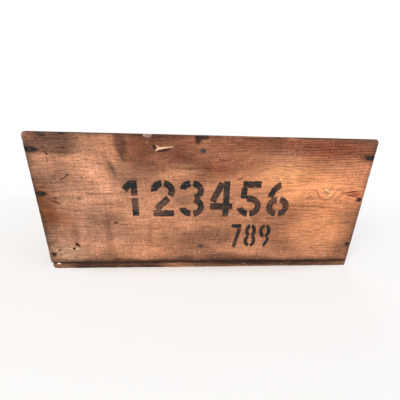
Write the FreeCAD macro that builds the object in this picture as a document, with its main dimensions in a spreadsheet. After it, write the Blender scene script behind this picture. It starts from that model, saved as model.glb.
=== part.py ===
# Old nailed softwood packing crate, open at the top, in millimetres.
# Two one-board sides lap the ends, a partition halves the inside, and three boards close the bottom.
# Every joint is a butt joint held by round wire nails, each seated in its own hole.
# Origin: middle of the underside. +X along the length, +Y from the front to the rear, +Z up.

import FreeCAD, Part
import os
import re
import Sketcher

SHEET_NAME = "Sizes"
PARTS_FOLDER = "parts"

# Driving dimensions: alias, value, what it measures.
SIZES = [
    ("crate_length", 560, "outside, end to end"),
    ("crate_depth", 370, "outside, front to rear"),
    ("side_height", 216, "height of the sides and ends"),
    ("side_thickness", 10, "front and rear boards"),
    ("end_thickness", 16, "left and right boards, thick enough to nail into"),
    ("bottom_thickness", 12, "bottom boards, whose edge shows under the sides"),
    ("bottom_gap", 1.5, "shrinkage gap between two bottom boards"),
    ("partition_thickness", 10, "board that halves the inside"),
    ("partition_offset", -8, "middle of the partition from the crate's middle"),
    ("partition_drop", 3, "top of the partition below the rim"),
    ("corner_radius", 7, "worn upper corners of the sides"),
    ("worn_corner", 6, "corner broken off the front bottom board"),
    ("edge_ease", 0.8, "rounding of every sawn arris"),
    ("nail_length", 42, "head to point"),
    ("nail_shank", 2.2, "shank diameter"),
    ("nail_head", 5.4, "head diameter"),
    ("nail_head_thickness", 1.2, "head thickness"),
    ("nail_point", 4, "length of the tapered point"),
    ("nail_sink", 0.3, "top of a head below the wood"),
    ("nail_clearance", 0.05, "radial room of a nail in its hole"),
    ("nail_tip_room", 0.5, "hole left beyond a nail's point"),
    ("left_top_nail_drop", 25, "below the rim, at a side's left end"),
    ("left_mid_nail_rise", 16, "above half height, at a side's left end"),
    ("left_low_nail_rise", 16, "above a side's lower edge, at its left end"),
    ("right_top_nail_drop", 29, "below the rim, at a side's right end"),
    ("right_mid_nail_rise", 10, "above half height, at a side's right end"),
    ("right_low_nail_rise", 34, "above a side's lower edge, at its right end"),
    ("partition_top_nail_drop", 23, "below the rim, at the partition"),
    ("partition_low_nail_rise", 31, "above a side's lower edge, at the partition"),
    ("nail_row_room", 6, "from a side nail's point to the bottom nail behind it"),
    ("bottom_nail_inset", 20, "bottom nail from the edge of its board"),
    ("rim_nail_inset", 51, "first nail along a side, from the end of its bottom board"),
]
RIM_NAILS = 4  # nails along each outer bottom board, up into the side

# Lengths that follow from the driving ones.
INNER_DEPTH = "(crate_depth - 2 * side_thickness)"
BOTTOM_WIDTH = "((crate_depth - 2 * bottom_gap) / 3)"
END_MIDDLE = "end_thickness / 2"
FAR_END_MIDDLE = "crate_length - end_thickness / 2"
PARTITION_FROM_LEFT = "crate_length / 2 + partition_offset"
PARTITION_FROM_RIGHT = "crate_length / 2 - partition_offset"
PARTITION_HEIGHT = "side_height - partition_drop"
HOLE_DIAMETER = "nail_shank + 2 * nail_clearance"
RECESS_DIAMETER = "nail_head + 2 * nail_clearance"
RECESS_DEPTH = "nail_sink + nail_head_thickness"
REACH = "nail_sink + nail_length + nail_tip_room"
PARTITION_LEFT_FACE = "partition_offset - partition_thickness / 2"

# Rows of bottom nails, from the edge of the front board or of their own board.
OUTER_ROW = "nail_length + nail_row_room"
INNER_ROW = f"{BOTTOM_WIDTH} - bottom_nail_inset"
MIDDLE_BOARD = f"{BOTTOM_WIDTH} + bottom_gap"

# Heights of the nails above a side's lower edge, at its left end, its right end and the partition.
LEFT_HEIGHTS = [
    "side_height - left_top_nail_drop",
    "side_height / 2 + left_mid_nail_rise",
    "left_low_nail_rise",
]
RIGHT_HEIGHTS = [
    "side_height - right_top_nail_drop",
    "side_height / 2 + right_mid_nail_rise",
    "right_low_nail_rise",
]
PARTITION_HEIGHTS = [
    "side_height - partition_top_nail_drop",
    "partition_low_nail_rise",
]

# Where a piece stands: its lower left front corner, and whether it is turned half round about Z.
FRONT_SIDE = (("-crate_length / 2", "-crate_depth / 2", "bottom_thickness"), False)
REAR_SIDE = (("crate_length / 2", "crate_depth / 2", "bottom_thickness"), True)
LEFT_END = (("-crate_length / 2", "-crate_depth / 2 + side_thickness", "bottom_thickness"), False)
RIGHT_END = (("crate_length / 2", "crate_depth / 2 - side_thickness", "bottom_thickness"), True)
PARTITION = ((PARTITION_LEFT_FACE, f"-{INNER_DEPTH} / 2", "bottom_thickness"), False)
BOTTOM_FRONT = (("-crate_length / 2", "-crate_depth / 2", "0"), False)
BOTTOM_MIDDLE = (("-crate_length / 2", f"-{BOTTOM_WIDTH} / 2", "0"), False)
BOTTOM_REAR = (("crate_length / 2", "crate_depth / 2", "0"), True)

doc = FreeCAD.newDocument("crate")
sub_parts = []


def make_sheet():
    """Writes the driving dimensions to the spreadsheet, one aliased cell each."""
    sheet = doc.addObject("Spreadsheet::Sheet", SHEET_NAME)
    for row, (alias, value, meaning) in enumerate(SIZES, 1):
        sheet.set(f"A{row}", meaning)
        sheet.set(f"B{row}", str(value))
        sheet.setAlias(f"B{row}", alias)
    doc.recompute()


def bind(target, name, formula):
    """Binds a property or constraint to the sheet, whose name is put before each alias."""
    aliases = "|".join(alias for alias, _, _ in SIZES)
    target.setExpression(name, re.sub(rf"\b({aliases})\b", rf"{SHEET_NAME}.\1", formula))


def make_body(label, place):
    """Adds an empty body that stands at the given place and counts as a sub-part."""
    corner, turned = place
    body = doc.addObject("PartDesign::Body", label)
    body.Label = label
    for axis, formula in zip("xyz", corner):
        bind(body, f"Placement.Base.{axis}", formula)
    if turned:
        body.Placement.Rotation = FreeCAD.Rotation(FreeCAD.Vector(0, 0, 1), 180)
    sub_parts.append(body)
    return body


def make_sketch(body, name, plane, offset=("0", "0", "0")):
    """Adds a sketch on one of the body's origin planes, moved by an offset in its own axes."""
    sketch = body.newObject("Sketcher::SketchObject", f"{body.Name}_{name}")
    support = next(f for f in body.Origin.OriginFeatures if f.Role == plane)
    sketch.AttachmentSupport = [(support, "")]
    sketch.MapMode = "FlatFace"
    for axis, formula in zip("xyz", offset):
        bind(sketch, f"AttachmentOffset.Base.{axis}", formula)
    return sketch


def constrain(sketch, formula, kind, *where):
    """Adds a dimension to the sketch and binds it to the sheet."""
    index = sketch.addConstraint(Sketcher.Constraint(kind, *where, 1.0))
    bind(sketch, f"Constraints[{index}]", formula)


def draw_outline(sketch, points):
    """Draws a closed outline of straight lines from rough points, which constraints then move."""
    vectors = [FreeCAD.Vector(x, y, 0) for x, y in points]
    count = len(vectors)
    for i in range(count):
        sketch.addGeometry(Part.LineSegment(vectors[i], vectors[(i + 1) % count]), False)
    for i in range(count):
        sketch.addConstraint(Sketcher.Constraint("Coincident", i, 2, (i + 1) % count, 1))
    sketch.addConstraint(Sketcher.Constraint("Coincident", 0, 1, -1, 1))


def pad_board(body, plane, width, height, thickness, towards_plane_back=False):
    """Pads a rectangle, from the body's corner, into a plain board."""
    sketch = make_sketch(body, "outline", plane)
    draw_outline(sketch, [(0, 0), (100, 0), (100, 50), (0, 50)])
    for line, direction in enumerate(["Horizontal", "Vertical", "Horizontal", "Vertical"]):
        sketch.addConstraint(Sketcher.Constraint(direction, line))
    constrain(sketch, width, "DistanceX", 0, 1, 0, 2)
    constrain(sketch, height, "DistanceY", 1, 1, 1, 2)
    pad = body.newObject("PartDesign::Pad", f"{body.Name}_board")
    pad.Profile = sketch
    pad.Reversed = towards_plane_back
    bind(pad, "Length", thickness)
    doc.recompute()
    return pad


def edge_names(shape, wanted):
    """Names of the shape's edges that pass the test."""
    return [f"Edge{i}" for i, edge in enumerate(shape.Edges, 1) if wanted(edge.BoundBox)]


def round_edges(body, base, name, edges, radius):
    """Rounds the named edges of a body's last feature."""
    fillet = body.newObject("PartDesign::Fillet", f"{body.Name}_{name}")
    fillet.Base = (base, edges)
    bind(fillet, "Radius", radius)
    doc.recompute()
    return fillet


def ease_all_edges(body, base):
    """Rounds every arris of a sawn board a little."""
    return round_edges(body, base, "eased_edges", edge_names(base.Shape, lambda box: True), "edge_ease")


def round_upper_corners(body, base):
    """Rounds the two upper corners of a side, where handling has worn them."""
    whole = base.Shape.BoundBox

    def is_upper_corner(box):
        runs_through = box.YLength > whole.YLength / 2 and box.XLength < whole.YLength / 2
        return runs_through and box.ZMin > whole.Center.z

    edges = edge_names(base.Shape, is_upper_corner)
    return round_edges(body, base, "upper_corners", edges, "corner_radius")


def break_corner(body, base):
    """Cuts off the left front corner of a bottom board."""
    whole = base.Shape.BoundBox

    def is_left_front_corner(box):
        upright = box.ZLength > whole.ZLength / 2
        return upright and box.XMax < whole.Center.x and box.YMax < whole.Center.y

    chamfer = body.newObject("PartDesign::Chamfer", f"{body.Name}_broken_corner")
    chamfer.Base = (base, edge_names(base.Shape, is_left_front_corner))
    bind(chamfer, "Size", "worn_corner")
    doc.recompute()
    return chamfer


def cut_holes(body, name, plane, offset, places, reverse, depth=None):
    """Drills a nail hole at each place: right through with a seat for the head, or blind to a depth."""
    sketch = make_sketch(body, f"{name}_places", plane, offset)
    for number, (across, up) in enumerate(places):
        middle = FreeCAD.Vector(10 * number + 10, 10, 0)
        circle = sketch.addGeometry(Part.Circle(middle, FreeCAD.Vector(0, 0, 1), 1), False)
        constrain(sketch, f"({HOLE_DIAMETER}) / 2", "Radius", circle)
        constrain(sketch, across, "DistanceX", -1, 1, circle, 3)
        constrain(sketch, up, "DistanceY", -1, 1, circle, 3)
    doc.recompute()
    volume_before = body.Shape.Volume
    hole = body.newObject("PartDesign::Hole", f"{body.Name}_{name}")
    hole.Profile = sketch
    doc.recompute()
    hole.Reversed = reverse
    bind(hole, "Diameter", HOLE_DIAMETER)
    if depth is None:
        hole.DepthType = "ThroughAll"
        hole.HoleCutType = "Counterbore"
        bind(hole, "HoleCutDiameter", RECESS_DIAMETER)
        bind(hole, "HoleCutDepth", RECESS_DEPTH)
    else:
        hole.DepthType = "Dimension"
        hole.DrillPoint = "Flat"
        bind(hole, "Depth", depth)
    doc.recompute()
    if body.Shape.Volume >= volume_before:
        raise RuntimeError(f"{hole.Name} cut nothing")


def draw_nail(sketch):
    """Draws half a nail's section: head at the sketch's origin, point up the vertical axis."""
    draw_outline(sketch, [(0, 0), (3, 0), (3, 1), (1, 1), (1, 38), (0, 42)])
    for line, direction in enumerate(["Horizontal", "Vertical", "Horizontal", "Vertical"]):
        sketch.addConstraint(Sketcher.Constraint(direction, line))
    sketch.addConstraint(Sketcher.Constraint("Vertical", 5))
    constrain(sketch, "nail_head / 2", "DistanceX", 0, 1, 0, 2)
    constrain(sketch, "nail_head_thickness", "DistanceY", 1, 1, 1, 2)
    constrain(sketch, "nail_shank / 2", "DistanceX", -1, 1, 3, 1)
    constrain(sketch, "nail_length - nail_point", "DistanceY", -1, 1, 3, 2)
    constrain(sketch, "nail_length", "DistanceY", -1, 1, 4, 2)


def drive_nails(label, place, plane, heads):
    """Makes one group of nails, each revolved about its own axis with its head at the given offset."""
    body = make_body(label, place)
    body.AllowCompound = True
    for number, head in enumerate(heads, 1):
        sketch = make_sketch(body, f"section_{number}", plane, head)
        draw_nail(sketch)
        nail = body.newObject("PartDesign::Revolution", f"{label}_{number}")
        nail.Profile = sketch
        nail.ReferenceAxis = (sketch, ["V_Axis"])
        nail.Angle = 360
    doc.recompute()


def side_nails(label, place, across, heights):
    """Drives a row of nails through a side, level, at one distance from its left end."""
    drive_nails(label, place, "XY_Plane", [(across, "nail_sink", height) for height in heights])


def bottom_nails(label, place, places):
    """Drives nails up through a bottom board."""
    drive_nails(label, place, "XZ_Plane", [(along, "nail_sink", f"-({across})") for along, across in places])


def rim_nail_places():
    """Places of the nails along an outer bottom board, evenly spaced, up into the middle of the side."""
    step = f"(crate_length - 2 * rim_nail_inset) / {RIM_NAILS - 1}"
    return [(f"rim_nail_inset + {i} * {step}", "side_thickness / 2") for i in range(RIM_NAILS)]


def both_ends(*across):
    """Places of the nails of a bottom board into both ends, at the given distances across the board."""
    return [(along, a) for along in (END_MIDDLE, FAR_END_MIDDLE) for a in across]


def make_side(label, place, partition):
    """A one-board side, drilled for its nails, with pilot holes in its lower edge."""
    body = make_body(label, place)
    board = pad_board(body, "XZ_Plane", "crate_length", "side_height", "side_thickness", True)
    ease_all_edges(body, round_upper_corners(body, board))
    rows = [(END_MIDDLE, LEFT_HEIGHTS), (FAR_END_MIDDLE, RIGHT_HEIGHTS), (partition, PARTITION_HEIGHTS)]
    places = [(across, height) for across, heights in rows for height in heights]
    cut_holes(body, "nail_holes", "XZ_Plane", ("0", "0", "0"), places, False)
    into_foot = f"{REACH} - bottom_thickness"
    cut_holes(body, "rim_pilots", "XY_Plane", ("0", "0", "0"), rim_nail_places(), True, into_foot)


def drill_cross_board(body, middle, front_heights, rear_heights, bottom_places):
    """Drills a board that stands between the sides for the nails from the front, the rear and below."""
    into_edge = f"{REACH} - side_thickness"
    front = [(middle, height) for height in front_heights]
    rear = [(middle, height) for height in rear_heights]
    cut_holes(body, "front_pilots", "XZ_Plane", ("0", "0", "0"), front, False, into_edge)
    cut_holes(body, "rear_pilots", "XZ_Plane", ("0", "0", f"-{INNER_DEPTH}"), rear, True, into_edge)
    into_foot = f"{REACH} - bottom_thickness"
    places = [(middle, f"{across} - side_thickness") for across in bottom_places]
    cut_holes(body, "bottom_pilots", "XY_Plane", ("0", "0", "0"), places, True, into_foot)


def make_end(label, place):
    """An end board, between the sides, with a pilot hole for every nail that meets it."""
    body = make_body(label, place)
    board = pad_board(body, "YZ_Plane", INNER_DEPTH, "side_height", "end_thickness")
    ease_all_edges(body, board)
    across = [
        OUTER_ROW,
        INNER_ROW,
        f"{MIDDLE_BOARD} + bottom_nail_inset",
        f"{MIDDLE_BOARD} + {INNER_ROW}",
        f"crate_depth - ({INNER_ROW})",
        f"crate_depth - ({OUTER_ROW})",
    ]
    drill_cross_board(body, END_MIDDLE, LEFT_HEIGHTS, RIGHT_HEIGHTS, across)


def make_partition():
    """The board that halves the inside, nailed through both sides and the bottom."""
    body = make_body("centre_partition", PARTITION)
    board = pad_board(body, "YZ_Plane", INNER_DEPTH, PARTITION_HEIGHT, "partition_thickness")
    ease_all_edges(body, board)
    across = [
        f"{BOTTOM_WIDTH} / 2",
        f"{MIDDLE_BOARD} + bottom_nail_inset",
        f"{MIDDLE_BOARD} + {INNER_ROW}",
        f"crate_depth - {BOTTOM_WIDTH} / 2",
    ]
    drill_cross_board(body, "partition_thickness / 2", PARTITION_HEIGHTS, PARTITION_HEIGHTS, across)


def make_bottom_board(label, place, places, broken=False):
    """A bottom board, drilled for its nails, with its left front corner broken off where asked."""
    body = make_body(label, place)
    board = pad_board(body, "XY_Plane", "crate_length", BOTTOM_WIDTH, "bottom_thickness")
    if broken:
        board = break_corner(body, board)
    ease_all_edges(body, board)
    cut_holes(body, "nail_holes", "XY_Plane", ("0", "0", "0"), places, True)


def make_bottom(label, place, groups, broken=False):
    """A bottom board with its groups of nails."""
    make_bottom_board(f"{label}_board", place, [p for places in groups.values() for p in places], broken)
    for name, places in groups.items():
        bottom_nails(f"{label}_{name}", place, places)


def outer_bottom_groups(partition):
    """Nails of the front or the rear bottom board, which also meets a side."""
    return {
        "end_nails": both_ends(OUTER_ROW, INNER_ROW),
        "side_nails": rim_nail_places(),
        "partition_nail": [(partition, f"{BOTTOM_WIDTH} / 2")],
    }


def middle_bottom_groups():
    """Nails of the middle bottom board."""
    return {
        "end_nails": both_ends("bottom_nail_inset", INNER_ROW),
        "partition_nails": [(PARTITION_FROM_LEFT, row) for row in ("bottom_nail_inset", INNER_ROW)],
    }


def make_crate():
    """Builds every piece of the crate."""
    make_side("front_side_board", FRONT_SIDE, PARTITION_FROM_LEFT)
    make_side("rear_side_board", REAR_SIDE, PARTITION_FROM_RIGHT)
    make_end("left_end_board", LEFT_END)
    make_end("right_end_board", RIGHT_END)
    make_partition()
    side_nails("front_left_nails", FRONT_SIDE, END_MIDDLE, LEFT_HEIGHTS)
    side_nails("front_right_nails", FRONT_SIDE, FAR_END_MIDDLE, RIGHT_HEIGHTS)
    side_nails("front_partition_nails", FRONT_SIDE, PARTITION_FROM_LEFT, PARTITION_HEIGHTS)
    side_nails("rear_right_nails", REAR_SIDE, END_MIDDLE, LEFT_HEIGHTS)
    side_nails("rear_left_nails", REAR_SIDE, FAR_END_MIDDLE, RIGHT_HEIGHTS)
    side_nails("rear_partition_nails", REAR_SIDE, PARTITION_FROM_RIGHT, PARTITION_HEIGHTS)
    make_bottom("bottom_front", BOTTOM_FRONT, outer_bottom_groups(PARTITION_FROM_LEFT), broken=True)
    make_bottom("bottom_middle", BOTTOM_MIDDLE, middle_bottom_groups())
    make_bottom("bottom_rear", BOTTOM_REAR, outer_bottom_groups(PARTITION_FROM_RIGHT))


def check_document():
    """Stops the build if any object failed or any sub-part has no sound shape."""
    doc.recompute()
    failed = [o.Name for o in doc.Objects if "Invalid" in o.State or "Error" in o.State]
    unsound = [b.Label for b in sub_parts if b.Shape.isNull() or not b.Shape.isValid()]
    if failed or unsound:
        raise RuntimeError(f"failed: {failed}, unsound: {unsound}")


def write_parts():
    """Writes each sub-part to its own file and prints its size."""
    os.makedirs(PARTS_FOLDER, exist_ok=True)
    for body in sub_parts:
        box = body.Shape.BoundBox
        spans = [(box.XMin, box.XMax), (box.YMin, box.YMax), (box.ZMin, box.ZMax)]
        extent = ", ".join(f"{axis} {low:.1f} to {high:.1f}" for axis, (low, high) in zip("xyz", spans))
        print(f"{body.Label}: {len(body.Shape.Solids)} solids, {body.Shape.Volume:.0f} mm3, {extent}")
        body.Shape.exportStep(os.path.join(PARTS_FOLDER, f"{body.Label}.step"))


make_sheet()
make_crate()
check_document()
write_parts()
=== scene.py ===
"""Dresses an old nailed softwood crate: worn boards, rusted nails, torn fibres and stencilled numbers."""

import logging
import math
from contextlib import contextmanager
from dataclasses import dataclass, field, replace
from enum import Enum
from typing import Any, Callable, Iterator, Sequence

import bmesh
import bpy
import numpy as np
from mathutils import Matrix, Vector


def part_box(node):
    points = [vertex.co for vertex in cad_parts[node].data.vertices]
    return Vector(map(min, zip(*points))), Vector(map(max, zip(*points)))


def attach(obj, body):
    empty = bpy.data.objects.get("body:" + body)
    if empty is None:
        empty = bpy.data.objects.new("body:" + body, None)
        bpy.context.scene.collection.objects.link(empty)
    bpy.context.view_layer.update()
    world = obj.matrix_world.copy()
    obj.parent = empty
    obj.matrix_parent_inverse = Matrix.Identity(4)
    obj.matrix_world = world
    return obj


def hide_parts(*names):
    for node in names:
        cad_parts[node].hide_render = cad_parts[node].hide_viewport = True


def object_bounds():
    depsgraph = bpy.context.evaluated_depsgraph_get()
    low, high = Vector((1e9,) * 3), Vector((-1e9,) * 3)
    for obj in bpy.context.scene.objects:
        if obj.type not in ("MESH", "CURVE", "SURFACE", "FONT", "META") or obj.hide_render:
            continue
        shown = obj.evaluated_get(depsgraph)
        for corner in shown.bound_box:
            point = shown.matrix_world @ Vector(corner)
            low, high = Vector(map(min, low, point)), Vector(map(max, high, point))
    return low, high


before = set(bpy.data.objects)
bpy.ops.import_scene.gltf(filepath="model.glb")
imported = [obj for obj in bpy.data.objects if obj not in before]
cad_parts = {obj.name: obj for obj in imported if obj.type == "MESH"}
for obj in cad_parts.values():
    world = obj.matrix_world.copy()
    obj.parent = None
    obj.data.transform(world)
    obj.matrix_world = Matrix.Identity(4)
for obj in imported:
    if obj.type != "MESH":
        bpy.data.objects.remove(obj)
CAD_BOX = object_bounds()

LOG = logging.getLogger("crate")
MM = 0.001
BODY = "root"
PHOTO_PIXELS = 400
STENCIL = "stencil_paint"
FRONT, REAR, DOWN = Vector((0, -1, 0)), Vector((0, 1, 0)), Vector((0, 0, -1))
LEFT, RIGHT = Vector((-1, 0, 0)), Vector((1, 0, 0))
Socket = bpy.types.NodeSocket
# a range that eases in and out and holds its ends
SMOOTH = {"interpolation_type": "SMOOTHSTEP", "clamp": False}


class Grain(Enum):
    """How a board lies: the turn that brings its grain to X, its thickness to Y and its width to Z."""

    SIDE = (0.0, 0.0, 0.0)
    END = (0.0, 0.0, math.pi / 2)
    BOTTOM = (math.pi / 2, 0.0, 0.0)

    def flat(self, step: Vector) -> Vector:
        """Turns a step in the crate's frame to one along the grain, through the board and across it."""
        return Matrix.Rotation(-self.value[0], 3, "X") @ Matrix.Rotation(-self.value[2], 3, "Z") @ step


class Blend(Enum):
    """How a mark changes the wood under it: darkened, by a stain that has sunk in and by painted shade;
    lightened, by bleaching and by painted light; or lying on it.
    """

    STAIN = "MULTIPLY"
    BLEACH = "DODGE"
    COVER = "MIX"


def linear(colour: str) -> tuple[float, float, float, float]:
    """Turns an sRGB hex colour to linear light.

    Args:
        colour: The colour as #RRGGBB.

    Returns:
        Red, green, blue and an alpha of 1.
    """
    parts = [int(colour[i : i + 2], 16) / 255 for i in (1, 3, 5)]
    red, green, blue = [p / 12.92 if p <= 0.04045 else ((p + 0.055) / 1.055) ** 2.4 for p in parts]
    return red, green, blue, 1.0


class NodeSheet:
    """The nodes of a new material, or of the world round the crate."""

    def __init__(self, owner: bpy.types.Material | bpy.types.World) -> None:
        """Starts with the owner's own shader and output.

        Args:
            owner: The new material or world.
        """
        owner.use_nodes = True
        self.owner = owner
        self.tree = owner.node_tree
        self.shader = next(n for n in self.tree.nodes if n.type in ("BSDF_PRINCIPLED", "BACKGROUND"))

    def add(self, kind: str, inputs: dict[str | int, Any], out: str | int = 0, **settings: Any) -> Socket:
        """Adds a node, sets it and links it.

        Args:
            kind: The node's type, without its ShaderNode prefix.
            inputs: Socket name or number to a value, or to the output that feeds it.
            out: The output to hand back.
            settings: The node's own properties.

        Returns:
            The chosen output socket.
        """
        node = self.tree.nodes.new(f"ShaderNode{kind}")
        for name, value in settings.items():
            setattr(node, name, value)
        for key, value in inputs.items():
            self.feed(node.inputs[key], value)
        return node.outputs[out]

    def feed(self, socket: Socket, value: Any) -> None:
        """Links an output to a socket, or sets the socket's own value.

        Args:
            socket: The input socket.
            value: An output socket, or a value.
        """
        if isinstance(value, Socket):
            self.tree.links.new(value, socket)
        else:
            socket.default_value = value

    def dress(self, **inputs: Any) -> bpy.types.Material | bpy.types.World:
        """Sets the shader's sockets.

        Args:
            inputs: Socket name, with _ for a space, to what feeds it.

        Returns:
            The finished material or world.
        """
        for name, value in inputs.items():
            self.feed(self.shader.inputs[name.replace("_", " ")], value)
        return self.owner


def select_only(piece: bpy.types.Object) -> None:
    """Selects one object alone and makes it active.

    Args:
        piece: The object.
    """
    bpy.ops.object.select_all(action="DESELECT")
    piece.select_set(True)
    bpy.context.view_layer.objects.active = piece


def add_block(name: str, middle: Vector, size: Sequence[float]) -> bpy.types.Object:
    """Adds the block that a piece of wood is made from.

    Args:
        name: The piece's name.
        middle: Its middle, in metres.
        size: Its size along X, Y and Z, in metres.

    Returns:
        The block, with its place and size in its mesh.
    """
    bpy.ops.object.select_all(action="DESELECT")
    bpy.ops.mesh.primitive_cube_add(size=1, location=middle, scale=size)
    piece = bpy.context.object
    piece.name = name
    bpy.ops.object.transform_apply(location=True, rotation=True, scale=True)
    return piece


@contextmanager
def editing(piece: bpy.types.Object, mode: str) -> Iterator[None]:
    """Opens a piece in edit mode and closes it again.

    Args:
        piece: The piece.
        mode: The select mode, EDGE or FACE.
    """
    select_only(piece)
    bpy.ops.object.mode_set(mode="EDIT")
    bpy.ops.mesh.select_mode(type=mode)
    yield
    bpy.ops.object.mode_set(mode="OBJECT")


def pick_edges(piece: bpy.types.Object, wanted: Callable[[bmesh.types.BMEdge], bool]) -> None:
    """Selects some edges of the piece in edit mode, and nothing else.

    Args:
        piece: The piece.
        wanted: The test that an edge has to pass.
    """
    mesh = bmesh.from_edit_mesh(piece.data)
    for edge in mesh.edges:
        edge.select_set(False)
    for edge in mesh.edges:
        if wanted(edge):
            edge.select_set(True)
    bmesh.update_edit_mesh(piece.data)


def pick_faces(piece: bpy.types.Object, wanted: Callable[[np.ndarray], np.ndarray]) -> None:
    """Selects some faces of the piece in edit mode, and nothing else.

    Args:
        piece: The piece.
        wanted: The test for the faces' middles, as rows of X, Y and Z in metres.
    """
    mesh = bmesh.from_edit_mesh(piece.data)
    chosen = wanted(np.array([face.calc_center_median() for face in mesh.faces]))
    for face in mesh.faces:
        face.select_set(False)
    for face, pick in zip(mesh.faces, chosen):
        if pick:
            face.select_set(True)
    bmesh.update_edit_mesh(piece.data)


def runs(edge: bmesh.types.BMEdge, axis: int) -> bool:
    """Tells whether an edge runs along an axis."""
    way = (edge.verts[1].co - edge.verts[0].co).normalized()
    return abs(way[axis]) > 0.99


def read_points(piece: bpy.types.Object) -> np.ndarray:
    """Reads the piece's vertices.

    Args:
        piece: The piece.

    Returns:
        Rows of X, Y and Z in metres.
    """
    flat = np.empty(len(piece.data.vertices) * 3, np.float32)
    piece.data.vertices.foreach_get("co", flat)
    return flat.reshape(-1, 3).astype(float)


def write_points(piece: bpy.types.Object, points: np.ndarray) -> None:
    """Moves the piece's vertices to new places."""
    piece.data.vertices.foreach_set("co", points.astype(np.float32).ravel())
    piece.data.update()


def ease(values: np.ndarray) -> np.ndarray:
    """Smooth step from 0 to 1 over values from 0 to 1."""
    held = np.clip(values, 0.0, 1.0)
    return held * held * (3 - 2 * held)


@dataclass(frozen=True)
class Mark:
    """A stain, scuff or fleck on a board's face, and also a patch of painted shade or painted light there, in
    mm along and across it from its middle.

    Through is its place in the board's thickness where that isn't the outer face, and reach is its half
    size there.
    """

    along: float
    across: float
    length: float
    width: float
    colour: str
    strength: float
    turn: float = 0.0
    crisp: float = 0.2
    blend: Blend = Blend.STAIN
    square: bool = False
    through: float | None = None
    reach: float = 6.0


def group(colour: str, *rows: Sequence[float], **shared: Any) -> tuple[Mark, ...]:
    """Makes marks of one colour.

    Args:
        colour: Their colour as #RRGGBB.
        rows: For each, its place along and across, length, width, strength, then any turn and crispness.
        shared: What else they have, all alike.

    Returns:
        The marks.
    """
    return tuple(Mark(*row[:4], colour, *row[4:], **shared) for row in rows)


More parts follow.
